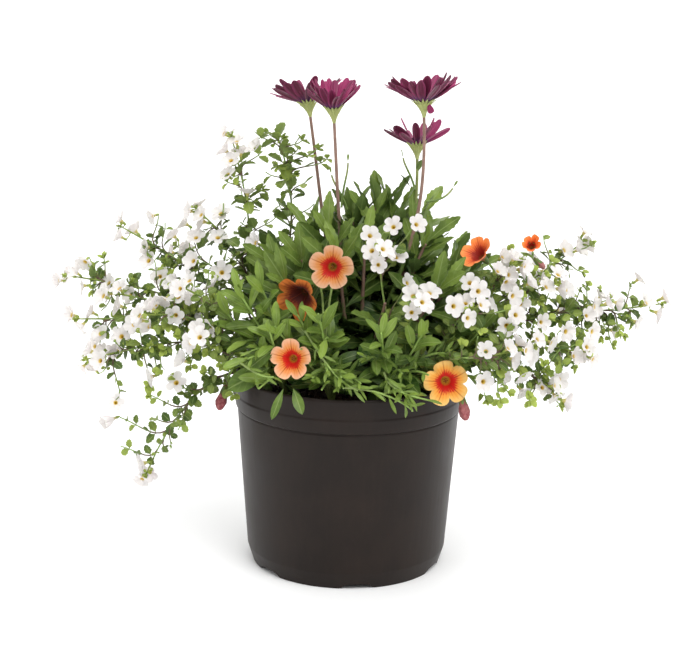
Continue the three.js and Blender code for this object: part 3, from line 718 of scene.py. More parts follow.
@dataclass(frozen=True)
class Leaf(Finish):
    """Leaf tissue, a thin living sheet with a waxy skin: it shines softly, glows where light comes through
    it, and its rib and side veins stand out pale."""

    old: str
    young: str
    rib: str
    below: str
    veins: float = 9.0
    through: float = 0.24
    roughness: float = 0.46

    def surface(self, tree: Tree, read: Reads) -> Socket:
        """Tint the sheet by its age, draw its veins and pale its underside.

        Args:
            tree: The material's node tree.
            read: What it reads from the mesh.

        Returns:
            The shader.
        """
        blotch = put(tree, "TexNoise", [read.place, per(9), 3.0])
        grain = put(tree, "TexNoise", [read.place, per(0.9), 2.0])
        tint = put(tree, "MapRange", [blotch, 0.3, 0.7, -0.16, 0.16])
        age = put(tree, "Math", [read.tone, tint], operation="ADD", use_clamp=True)
        lamina = put(tree, "Mix", [age, self.old, self.young], **COLOURS)
        # Side veins run out and forwards from the rib, a few millimetres apart.
        run = put(tree, "Math", [read.along, self.veins], operation="MULTIPLY")
        slant = put(tree, "Math", [read.middle, -1.3, run], operation="MULTIPLY_ADD")
        saw = put(tree, "Math", [slant, 0.5], operation="PINGPONG")
        vein = put(tree, "MapRange", [saw, 0.0, 0.12, 0.16, 0.0], **SMOOTH)
        rib = put(tree, "MapRange", [read.middle, 0.02, 0.13, 0.6, 0.0], **SMOOTH)
        lines = put(tree, "Math", [vein, rib], operation="MAXIMUM")
        veined = put(tree, "Mix", [lines, lamina, self.rib], **COLOURS)
        backed = put(tree, "Math", [read.under, 0.6], operation="MULTIPLY")
        colour = put(tree, "Mix", [backed, veined, self.below], **COLOURS)
        relief = put(tree, "Math", [grain, 0.35, lines], operation="MULTIPLY_ADD")
        bump = put(tree, "Bump", {"Strength": 0.5, "Distance": 0.4 * MM, "Height": relief})
        glow = put(tree, "Gamma", [colour, 0.82])
        return tissue(tree, colour, glow, bump, self.through, Roughness=self.roughness, IOR=1.38)


@dataclass(frozen=True)
class Stalk(Finish):
    """Stem skin, grown and finely streaked: green and smooth where it is young, brown and corky as wood."""

    foot: str
    head: str
    turns: tuple[float, float] = (0.25, 0.7)

    def surface(self, tree: Tree, read: Reads) -> Socket:
        """Turn from one colour to the other along the stem, in patches and streaks.

        Args:
            tree: The material's node tree.
            read: What it reads from the mesh.

        Returns:
            The shader.
        """
        patch = put(tree, "TexNoise", [read.place, per(5), 4.0])
        ribs = put(tree, "Math", [read.across, 3.0], operation="MULTIPLY")
        streak = put(tree, "Math", [ribs], operation="SINE")
        drift = put(tree, "MapRange", [patch, 0.3, 0.7, -0.14, 0.14])
        run = put(tree, "Math", [read.along, drift], operation="ADD")
        age = put(tree, "MapRange", [run, *self.turns], **SMOOTH)
        hue = put(tree, "Mix", [age, self.foot, self.head], **COLOURS)
        shade = put(tree, "MapRange", [patch, 0.3, 0.75, 0.75, 1.2])
        colour = put(tree, "HueSaturation", {"Value": shade, "Color": hue})
        relief = put(tree, "Math", [streak, 0.4, patch], operation="MULTIPLY_ADD")
        bump = put(tree, "Bump", {"Strength": 0.4, "Distance": 0.3 * MM, "Height": relief})
        return put(tree, "BsdfPrincipled", {"Base Color": colour, "Roughness": 0.58, "Normal": bump})


@dataclass(frozen=True)
class Ray(Finish):
    """Daisy ray: petal tissue, ribbed along its length, so that it shines like satin and its ribs catch the
    light; one colour above and another below."""

    above: str
    below: str
    edge: str
    foot: str

    def surface(self, tree: Tree, read: Reads) -> Socket:
        """Colour both faces, turn them blue towards the foot and raise the ribs.

        Args:
            tree: The material's node tree.
            read: What it reads from the mesh.

        Returns:
            The shader.
        """
        # Five raised ribs run along a ray, about 1.5 mm apart.
        ribs = put(tree, "Math", [read.across, 8.0], operation="MULTIPLY")
        wave = put(tree, "Math", [ribs], operation="COSINE")
        patch = put(tree, "TexNoise", [read.place, per(6), 2.0])
        aside = put(tree, "MapRange", [read.middle, 0.35, 1.0, 0.0, 0.85])
        back = put(tree, "Mix", [aside, self.below, self.edge], **COLOURS)
        base = put(tree, "Mix", [read.under, self.above, back], **COLOURS)
        foot = put(tree, "MapRange", [read.along, 0.05, 0.42, 0.75, 0.0], **SMOOTH)
        footed = put(tree, "Mix", [foot, base, self.foot], **COLOURS)
        own = put(tree, "MapRange", [read.tone, 0.0, 1.0, 0.72, 1.25])
        light = put(tree, "Math", [wave, 0.12, own], operation="MULTIPLY_ADD")
        value = put(tree, "Math", [patch, 0.3, light], operation="MULTIPLY_ADD")
        dim = put(tree, "Math", [value, 0.15], operation="SUBTRACT")
        colour = put(tree, "HueSaturation", {"Value": dim, "Color": footed})
        bump = put(tree, "Bump", {"Strength": 0.35, "Distance": 0.4 * MM, "Height": wave})
        return tissue(tree, colour, colour, bump, 0.22, Roughness=0.5, Sheen_Weight=0.12)


@dataclass(frozen=True)
class Velvet(Finish):
    """Calibrachoa corolla: petal tissue whose fine hairs make it dull and velvety, with a feathered eye, a
    yellow throat, dark veins and a pale rim."""

    lobe: str
    flush: str
    eye: str
    throat: str = "#e0b83c"
    edge: str = "#fde4c6"
    vein: str = "#a8440e"
    back: str = "#f2c29a"

    def surface(self, tree: Tree, read: Reads) -> Socket:
        """Colour the flower from its throat out to its rim, and draw its veins.

        Args:
            tree: The material's node tree.
            read: What it reads from the mesh.

        Returns:
            The shader.
        """
        soft = put(tree, "TexNoise", [read.place, per(2.2), 3.0])
        # The eye reaches further out along the veins, so its edge is feathered.
        point = put(tree, "MapRange", [read.middle, 0.0, 0.5, -0.05, 0.02])
        drift = put(tree, "MapRange", [soft, 0.3, 0.7, -0.05, 0.05])
        moved = put(tree, "Math", [point, drift], operation="ADD")
        fan = put(tree, "Math", [read.across, 3.2], operation="MULTIPLY")
        saw = put(tree, "Math", [fan, 0.5], operation="PINGPONG")
        feather = put(tree, "MapRange", [saw, 0.0, 0.5, -0.05, 0.05])
        apart = put(tree, "Math", [moved, feather], operation="ADD")
        rho = put(tree, "Math", [read.along, apart], operation="ADD")
        flush = put(tree, "MapRange", [rho, 0.45, 0.95, 1.0, 0.0], **SMOOTH)
        eye = put(tree, "MapRange", [rho, 0.37, 0.6, 1.0, 0.0], **SMOOTH)
        throat = put(tree, "MapRange", [read.along, 0.12, 0.24, 1.0, 0.0], **SMOOTH)
        rim = put(tree, "MapRange", [read.along, 0.7, 1.0, 0.0, 0.45])
        lobes = put(tree, "Mix", [flush, self.lobe, self.flush], **COLOURS)
        edged = put(tree, "Mix", [rim, lobes, self.edge], **COLOURS)
        eyed = put(tree, "Mix", [eye, edged, self.eye], **COLOURS)
        deep = put(tree, "Mix", [throat, eyed, self.throat], **COLOURS)
        # One dark vein runs out along each lobe, and finer ones fan out beside it.
        main_ = put(tree, "MapRange", [read.middle, 0.0, 0.08, 0.8, 0.0], **SMOOTH)
        fine = put(tree, "MapRange", [saw, 0.0, 0.14, 0.16, 0.0])
        lines = put(tree, "Math", [main_, fine], operation="MAXIMUM")
        fade = put(tree, "MapRange", [read.along, 0.55, 1.0, 1.0, 0.35])
        ink = put(tree, "Math", [lines, fade], operation="MULTIPLY")
        veined = put(tree, "Mix", [ink, deep, self.vein], **COLOURS)
        pale = put(tree, "Math", [read.under, 0.35], operation="MULTIPLY")
        backed = put(tree, "Mix", [pale, veined, self.back], **COLOURS)
        # Each bloom's tone darkens or lightens its colour: painted shade on a bloom that sits in shade,
        # painted light on a lit one.
        own = put(tree, "MapRange", [read.tone, 0.0, 1.0, 0.6, 1.2])
        colour = put(tree, "HueSaturation", {"Value": own, "Color": backed})
        bump = put(tree, "Bump", {"Strength": 0.4, "Distance": 0.4 * MM, "Height": lines}, invert=True)
        velvet = {"Roughness": 0.62, "Sheen_Weight": 0.12, "Sheen_Roughness": 0.4}
        return tissue(tree, colour, colour, bump, 0.3, **velvet)


class Tint(Enum):
    """The colours that the calibrachoa blooms come in, and one darker copy of a tint that paints shade."""

    APRICOT = Velvet("calibrachoa_apricot", "#f7b27c", "#f29c3c", "#e01404")
    GOLDEN = Velvet("calibrachoa_golden", "#fdca60", "#fca634", "#e01404", edge="#ffdf9c")
    BURNT = Velvet("calibrachoa_burnt_orange", "#f89a4c", "#e0622a", "#a01e08", "#8a6a20", "#fba85c")
    # Painted shade: a darker copy of the burnt-orange tint, its flush, eye and throat darkened for a bloom
    # that sits in shade; its red middle is the flower's own colour.
    BURNT_IN_PAINTED_SHADE = Velvet("calibrachoa_burnt_orange_painted_shade", "#ee8c3c", "#8c2c0e", "#5c1206", "#5a4416", "#f39a44")


@dataclass(frozen=True)
class WhitePetal(Finish):
    """Bacopa corolla: thin white petal tissue, so that it glows against the light, with a yellow eye."""

    name: str = "bacopa_white_petal"
    white: str = "#f7f5f3"
    blush: str = "#f2ebed"
    eye: str = "#efd05a"
    throat: str = "#b08a2a"
    tube: str = "#d8d48c"

    def surface(self, tree: Tree, read: Reads) -> Socket:
        """Blush the white here and there, and colour the eye, the throat and the tube.

        Args:
            tree: The material's node tree.
            read: What it reads from the mesh.

        Returns:
            The shader.
        """
        patch = put(tree, "TexNoise", [read.place, per(7), 2.0])
        pink = put(tree, "Math", [patch, 0.5, read.under], operation="MULTIPLY_ADD")
        tinge = put(tree, "MapRange", [pink, 0.3, 1.4, 0.0, 0.7])
        petal = put(tree, "Mix", [tinge, self.white, self.blush], **COLOURS)
        eye = put(tree, "MapRange", [read.along, 0.16, 0.28, 1.0, 0.0], **SMOOTH)
        throat = put(tree, "MapRange", [read.along, 0.08, 0.15, 1.0, 0.0])
        inner = put(tree, "Mix", [throat, self.eye, self.throat], **COLOURS)
        both = put(tree, "Mix", [read.under, inner, self.tube], **COLOURS)
        colour = put(tree, "Mix", [eye, petal, both], **COLOURS)
        crease = put(tree, "MapRange", [read.middle, 0.0, 0.25, 0.0, 1.0], **SMOOTH)
        bump = put(tree, "Bump", {"Strength": 0.3, "Distance": 0.3 * MM, "Height": crease})
        return tissue(tree, colour, colour, bump, 0.45, Roughness=0.6)


@dataclass(frozen=True)
class Speckled(Finish):
    """A dull crumbly or crumpled surface, whose colour wanders between two shades: dry florets, faded
    petals, potting mix of peat and bark."""

    dark: str
    light: str
    patch: float
    rough: float

    def surface(self, tree: Tree, read: Reads) -> Socket:
        """Blotch the colour and break the surface up into grains.

        Args:
            tree: The material's node tree.
            read: What it reads from the mesh.

        Returns:
            The shader.
        """
        spots = put(tree, "TexNoise", [read.place, per(self.patch), 5.0])
        grains = put(tree, "TexVoronoi", [read.place, per(self.patch * 0.4)])
        mixed = put(tree, "Math", [spots, read.tone], operation="ADD")
        share = put(tree, "MapRange", [mixed, 0.65, 1.35])
        colour = put(tree, "Mix", [share, self.dark, self.light], **COLOURS)
        relief = put(tree, "Math", [spots, grains], operation="ADD")
        bump = put(tree, "Bump", {"Strength": 0.8, "Distance": self.rough * MM, "Height": relief})
        return put(tree, "BsdfPrincipled", {"Base Color": colour, "Roughness": 0.88, "Normal": bump})


@dataclass(frozen=True)
class BlownPlastic(Finish):
    """Black polyethylene, blow moulded: a satin skin, softly blotched and streaked where it met the mould,
    with specks of dust and potting mix on it."""

    name: str = "pot_blow_moulded_polyethylene"
    body: str = "#1b130f"
    bloom: str = "#241b16"
    dust: str = "#40372f"

    def surface(self, tree: Tree, read: Reads) -> Socket:
        """Cloud and streak the black, in colour and in gloss, and speck it with dust.

        Args:
            tree: The material's node tree.
            read: What it reads from the mesh.

        Returns:
            The shader.
        """
        cloud = put(tree, "TexNoise", [read.place, per(48), 4.0])
        flow = put(tree, "Mapping", {"Vector": read.place, "Scale": (1.0, 1.0, 0.12)})
        streak = put(tree, "TexNoise", [flow, per(6), 4.0])
        speck = put(tree, "TexNoise", [read.place, per(1.1), 3.0])
        share = put(tree, "Math", [streak, 0.4, cloud], operation="MULTIPLY_ADD")
        bloom = put(tree, "MapRange", [share, 0.55, 0.95])
        satin = put(tree, "Mix", [bloom, self.body, self.bloom], **COLOURS)
        dusty = put(tree, "MapRange", [speck, 0.64, 0.8, 0.0, 0.25])
        colour = put(tree, "Mix", [dusty, satin, self.dust], **COLOURS)
        rough = put(tree, "MapRange", [share, 0.4, 1.0, 0.34, 0.5])
        relief = put(tree, "Math", [speck, 0.12, streak], operation="MULTIPLY_ADD")
        bump = put(tree, "Bump", {"Strength": 0.16, "Distance": 0.6 * MM, "Height": relief})
        skin_ = {"Base Color": colour, "Roughness": rough, "Specular IOR Level": 0.2, "Normal": bump}
        return put(tree, "BsdfPrincipled", skin_)


class Finishes:
    """Every finish of the pot and its plants, made once."""

    def __init__(self) -> None:
        """Make the materials."""
        self.plastic = BlownPlastic().material()
        self.soil = Speckled("potting_mix", "#120c08", "#4a3524", 2.6, 1.2).material()
        wax = 0.36
        greens = ("#32511d", "#8ea64c", "#9fb36a", "#6f8650")
        daisy_leaf = Leaf("daisy_leaf", *greens, 7.0, 0.2, wax).material()
        self.daisy_cup = Leaf("daisy_cup", "#a4ae62", "#d0d592", "#d8dba8", "#b4bc78", 1.0).material()
        daisy_stalk = Stalk("daisy_stalk", "#6a843f", "#8e7062", (0.42, 0.62)).material()
        self.daisy_young_stalk = Stalk("daisy_young_stalk", "#6a843f", "#8c9656", (0.42, 0.8)).material()
        self.ray = Ray("daisy_ray", "#9c1c5e", "#6a163f", "#923364", "#583672").material()
        self.disc = Speckled("daisy_disc_florets", "#1b1230", "#5a3a52", 1.2, 0.4).material()
        greens = ("#34521f", "#90aa48", "#9db068", "#768c52")
        calibrachoa_leaf = Leaf("calibrachoa_leaf", *greens, 6.0, 0.2, wax).material()
        calibrachoa_stalk = Stalk("calibrachoa_stalk", "#7d8f4c", "#93b058").material()
        self.faded = Speckled("faded_calibrachoa", "#7d2434", "#c98a86", 3.0, 0.8).material()
        self.tints = {tint: tint.value.material() for tint in Tint}
        greens = ("#567034", "#bacc60", "#a8b872", "#8fa364")
        bacopa_leaf = Leaf("bacopa_leaf", *greens, 5.0, 0.32, 0.42).material()
        bacopa_stalk = Stalk("bacopa_stalk", "#6a5644", "#87a352", (0.35, 0.95)).material()
        self.white = WhitePetal().material()
        self.leaves = {"daisy": daisy_leaf, "calibrachoa": calibrachoa_leaf, "bacopa": bacopa_leaf}
        self.stalks = {"daisy": daisy_stalk, "calibrachoa": calibrachoa_stalk, "bacopa": bacopa_stalk}


# ---------------------------------------------------------------- pieces


@dataclass
class Piece:
    """One piece in the making: shapes gathered in millimetres under one finish."""

    name: str
    finish: bpy.types.Material
    slot: str
    points: list[Vec] = field(default_factory=list)
    faces: list[tuple[int, ...]] = field(default_factory=list)
    reads: list[Vec] = field(default_factory=list)
    tones: list[Vec] = field(default_factory=list)
    count: int = 0

    def add(self, shape: Shape, frame: Frame | None = None, tone: float = 0.5, size: float = 1.0) -> None:
        """Put a shape in.

        Args:
            shape: The shape.
            frame: Where it stands, or None for a shape that is in place.
            tone: How young or light it is, from 0 to 1.
            size: A factor on its size.
        """
        self.points.append(shape.points if frame is None else frame.put(shape.points, size))
        start = self.count
        self.faces.extend(tuple(start + i for i in face) for face in shape.faces)
        self.reads.append(shape.reads)
        self.tones.append(np.full(len(shape.points), tone))
        self.count += len(shape.points)

    def build(self, *nodes: str) -> bpy.types.Object:
        """Make the object, in metres, riding on the body of the pot.

        Args:
            *nodes: The solids that it stands for.

        Returns:
            The object.
        """
        mesh = bpy.data.meshes.new(self.name)
        mesh.from_pydata(np.concatenate(self.points) * MM, [], self.faces)
        for name, kind, values in (
            ("blade", "FLOAT_VECTOR", np.concatenate(self.reads)),
            ("tone", "FLOAT", np.concatenate(self.tones)),
        ):
            layer = mesh.attributes.new(name, kind, "POINT")
            key = "vector" if kind == "FLOAT_VECTOR" else "value"
            layer.data.foreach_set(key, values.astype(np.float32).ravel())
        mesh.polygons.foreach_set("use_smooth", np.ones(len(self.faces), bool))
        mesh.set_sharp_from_angle(angle=SHARP)
        mesh.materials.append(self.finish)
        piece = bpy.data.objects.new(self.name, mesh)
        bpy.context.scene.collection.objects.link(piece)
        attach(piece, "root")
        if nodes:
            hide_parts(*nodes)
        LOG.info("%s: %d faces, stands for %s", self.name, len(self.faces), ", ".join(nodes) or "nothing")
        return piece


@dataclass(frozen=True)
class Clearing:
    """The room in front of a bloom, into which the extra leaves don't grow."""

    at: Vec
    face: Vec
    radius: float
    depth: float
    behind: float = 5.0

    def holds(self, point: Vec) -> bool:
        """Tell whether a point is in the clearing.

        Args:
            point: The point.

        Returns:
            Whether it is.
        """
        away = point - self.at
        ahead = float(away @ self.face)
        aside = float(np.linalg.norm(away - self.face * ahead))
        return -self.behind < ahead < self.depth and aside < self.radius


# ---------------------------------------------------------------- pot and soil


@dataclass
class Pot:
    """The round pot: rolled lip, rim band over a ridge and a groove, straight taper, notched foot."""

    height: float = 173.0
    top_radius: float = 100.3
    lip: tuple[float, float] = (101.3, 171.4)
    over_ridge: tuple[float, float] = (100.9, 155.8)
    ridge: tuple[float, float] = (101.5, 154.4)
    band_foot: tuple[float, float] = (99.8, 142.9)
    groove: tuple[float, float] = (97.7, 141.9)
    body_top: tuple[float, float] = (98.4, 140.6)
    chamfer_top: tuple[float, float] = (88.8, 15.0)
    foot_outer: float = 84.0
    foot_inner: float = 70.0
    pad_radius: float = 20.0
    recess: float = 3.0
    floor: float = 5.0
    wall: float = 1.8
    sides: int = 288
    arches: int = 6
    crown: float = 0.8
    arch_half_width: float = 18.0
    arch_height: float = 4.6
    first_arch_deg: float = -83.0

    def profile(self) -> list[tuple[float, float]]:
        """Give radius and height along the pot's section, from the pad round to the inner floor.

        Returns:
            The corners of the section.
        """
        foot = [(self.pad_radius, 0), (self.pad_radius + 2, self.recess)]
        foot += [(self.foot_inner - 2, self.recess), (self.foot_inner, 0), (self.foot_outer, 0)]
        side = [self.chamfer_top, self.body_top, self.groove]
        band = [self.band_foot, self.ridge, self.over_ridge, self.lip, (self.top_radius, self.height)]
        inside = [(self.top_radius - self.wall, self.height), (self.groove[0] - self.wall, self.groove[1])]
        inside.append((self.chamfer_top[0] - self.wall, self.chamfer_top[1] + 1))
        inside.append((self.foot_outer - self.wall, self.floor))
        return foot + side + band + inside

    def rounded(self, soft: float = 1.1, steps: int = 4) -> Vec:
        """Round the section's corners as the mould does.

        Args:
            soft: How far from a corner the rounding starts.
            steps: Points on each corner.

        Returns:
            The section.
        """
        corners = np.array(self.profile(), float)
        line = [corners[0]]
        for before, here, after in zip(corners, corners[1:], corners[2:]):
            back, on = before - here, after - here
            reach = min(soft, 0.42 * np.linalg.norm(back), 0.42 * np.linalg.norm(on))
            start, end = here + unit(back) * reach, here + unit(on) * reach
            for t in np.linspace(0, 1, steps):
                line.append(start * (1 - t) ** 2 + 2 * here * t * (1 - t) + end * t * t)
        line.append(corners[-1])
        # Long stretches get points between, so that the foot's arches cut a true edge.
        full = [line[0]]
        for a, b in zip(line, line[1:]):
            parts = max(1, math.ceil(np.linalg.norm(b - a) / 9))
            full += [lerp(a, b, k / parts) for k in range(1, parts + 1)]
        return np.array(full)

    def arch_at(self, radius: float, angle: Vec) -> Vec:
        """Give the height to which the drain arches cut the foot at each angle.

        Args:
            radius: The foot's radius.
            angle: The angles.

        Returns:
            The heights.
        """
        step = TURN / self.arches
        away = (angle - math.radians(self.first_arch_deg) + step / 2) % step - step / 2
        aside = np.abs(radius * np.sin(away))
        shoulder = self.arch_half_width * 0.55
        side = self.arch_height * self.crown
        crown = lerp(self.arch_height, side, np.clip(aside / shoulder, 0, 1))
        fall = (aside - shoulder) / (self.arch_half_width - shoulder)
        return crown - (side + 2) * np.clip(fall, 0, 1)

    def build(self, finishes: Finishes) -> None:
        """Turn the pot and cut its drain arches.

        Args:
            finishes: The finishes.
        """
        angle = np.arange(self.sides) / self.sides * TURN
        rings = []
        for radius, z in self.rounded():
            reach, height = np.full(self.sides, radius), np.full(self.sides, z)
            if z < self.arch_height and radius > self.foot_inner - 3:
                height = np.maximum(height, self.arch_at(radius, angle))
                slope = (self.chamfer_top[0] - self.foot_outer) / self.chamfer_top[1]
                chamfer = np.maximum(reach, self.foot_outer + slope * height)
                reach = np.where(radius > self.foot_outer - 1, chamfer, reach)
            rings.append(ring_at(reach, angle, height))
        rings = np.array(rings)
        piece = Piece("pot_shell", finishes.plastic, "pot")
        piece.add(skin(rings, np.zeros_like(rings), vec((0, 0, 0)), vec((0, 0, self.floor))))
        piece.build("pot")


@dataclass
class Soil:
    """The potting mix: crowned in the middle, crumbly, with bits of bark on it."""

    edge_z: float = 152.0
    crown_z: float = 160.0
    dome: float = 50.0
    slope: float = 24.0
    sides: int = 96
    crumbs: int = 620
    seed: int = 5

    def top(self, x: float, y: float) -> float:
        """Give the height of the soil at a point.

        Args:
            x: Its place to the right.
            y: Its place to the back.

        Returns:
            The height.
        """
        r = math.hypot(x, y)
        if r < self.dome:
            return lerp(self.crown_z, self.crown_z - 2, r / self.dome)
        return lerp(self.crown_z - 2, self.edge_z + 2.5, (r - self.dome) / self.slope)

    def build(self, finishes: Finishes, pot: Pot) -> None:
        """Lay the soil and strew its crumbs.

        Args:
            finishes: The finishes.
            pot: The pot that holds it.
        """
        rng = np.random.default_rng(self.seed)
        piece = Piece("potting_soil", finishes.soil, "soil")
        angle = np.arange(self.sides) / self.sides * TURN
        radii = [(pot.foot_outer - 3, pot.floor + 0.3), (pot.chamfer_top[0] - 2.7, 16.5)]
        radii += [(pot.groove[0] - 2.7, 140.9), (93.6, self.edge_z - 1)]
        rings = [ring_at(r, angle, z) for r, z in radii]
        for r in np.linspace(92.5, 2, 34):
            z = max(self.top(r, 0), self.edge_z + 0.5) + rng.normal(0, 0.8, self.sides)
            rings.append(ring_at(r, angle, z))
        rings = np.array(rings)
        ends = vec((0, 0, pot.floor + 0.3)), vec((0, 0, self.crown_z))
        piece.add(skin(rings, np.zeros_like(rings), *ends))
        for _ in range(self.crumbs):
            r, a = 92 * math.sqrt(rng.random()), rng.uniform(0, TURN)
            x, y = r * math.cos(a), r * math.sin(a)
            size = rng.uniform(1.0, 3.2)
            wobble = rng.uniform(0.7, 1.25, (4, 6))
            lump = turned([(0.5, -1.1), (1, -0.4), (0.95, 0.4), (0.45, 1.0)], 6, wobble)
            frame = Frame.at((x, y, self.top(x, y) + size * 0.25), rng.normal(size=3), rng.normal(size=3))
            piece.add(lump, frame, rng.random(), size)
        piece.build("soil")


# ---------------------------------------------------------------- what all plants share


@dataclass(frozen=True)
class Stem:
    """A grown stem: its curve, and whether it carries leaves of its own."""

    curve: Curve
    leafy: bool = True


@dataclass(frozen=True)
class Bed:
    """What all plants share: the soil, the finishes and the clearings before the blooms."""

    soil: Soil
    finishes: Finishes
    clearings: list[Clearing] = field(default_factory=list)


@dataclass(kw_only=True)
class Plant:
    """A plant of the pot: a crown in the soil, stems that leave it and leaves that turn to the light."""

    name: str
    kind: str
    root: tuple[float, float]
    seed: int
    crown_radius: float
    crown_above: float
    bed: Bed
    stems: list[Stem] = field(default_factory=list)
    left: int = 0

    def __post_init__(self) -> None:
        """Set up the plant's draws, its stalks and leaves and the top of its crown."""
        self.draws = Draws(self.seed)
        self.rng = np.random.default_rng(self.seed)
        x, y = self.root
        self.ground = self.bed.soil.top(x, y)
        self.base = vec((x, y, self.ground + self.crown_above - 3))
        self.stalks = self.greens("stalks", self.bed.finishes.stalks[self.kind])
        self.leaves = self.greens("leaves", self.bed.finishes.leaves[self.kind])

    def greens(self, part: str, finish: bpy.types.Material) -> Piece:
        """Start a green piece of the plant."""
        return Piece(f"{self.name}_{part}", finish, f"{self.kind}_foliage")

    def leave(self, end: Vec, count: int) -> Vec:
        """Give the point at which a stem bound for an end leaves the crown, each lower than the last.

        Args:
            end: The end.
            count: How many stems the crown has.

        Returns:
            The point.
        """
        start = self.base + level(end - self.base) * self.crown_radius * 0.45
        start[2] -= self.left / count * (self.crown_above - 6)
        self.left += 1
        return start

    @staticmethod
    def light_at(point: Vec) -> Vec:
        """Give the way that leaves at a point turn their upper faces: up, and out of the planting."""
        return vec((point[0] * 0.003, max(-0.9, min(0.9, (point[1] - 20) / 50)), 0.75))

    def frame_on(self, curve: Curve, t: float, turn: float, spread_deg: float) -> Frame:
        """Stand a frame for a leaf on a stem.

        Args:
            curve: The stem's curve.
            t: The share of it at which the leaf grows.
            turn: How far it is turned about the stem, in radians.
            spread_deg: How far it stands off the stem.

        Returns:
            The frame, with its x along the leaf and its z out of the leaf's upper face.
        """
        foot, along = curve.point(t), curve.tangent(t)
        guide = vec((1, 0, 0)) if abs(along[2]) > 0.9 else UP
        side = spun(unit(np.cross(guide, along)), along, turn)
        spread = math.radians(spread_deg)
        out = along * math.cos(spread) + side * math.sin(spread)
        return Frame.at(foot, out, self.light_at(foot))

    def clear(self, frame: Frame, length: float) -> bool:
        """Tell whether a leaf of that length keeps out of the clearings before the blooms."""
        spots = [frame.origin + frame.axes[0] * length * share for share in (0.35, 0.7, 1.0)]
        return not any(clearing.holds(spot) for clearing in self.bed.clearings for spot in spots)

    def extra(self, frame: Frame, blade: Blade, tone: float) -> None:
        """Grow a leaf that the solids don't have, if it keeps clear of the blooms."""
        if self.clear(frame, blade.length):
            self.leaves.add(blade.shape(), frame, tone)


# ---------------------------------------------------------------- African daisy


# The form that all rays share.
RAY_FORM = dict(shoulder=0.7, blunt=0.42, stalk=0.0, neck=0.3, rows=11, columns=6, thickness=0.45, fold=-16)


@dataclass(frozen=True)
class DaisyBloom:
    """A daisy bloom: the point under it, the way it faces, how far its rays close, their number and size."""

    at: Triple
    face: Triple
    closed_deg: float
    rays: int = 24
    reach: float = 1.0
    hanging: Triple | None = None  # the foot of a ray that hangs down

    def frame(self) -> Frame:
        """Stand a frame under the bloom with x the way that it faces."""
        return Frame.at(self.at, self.face, (0, -1, 0))


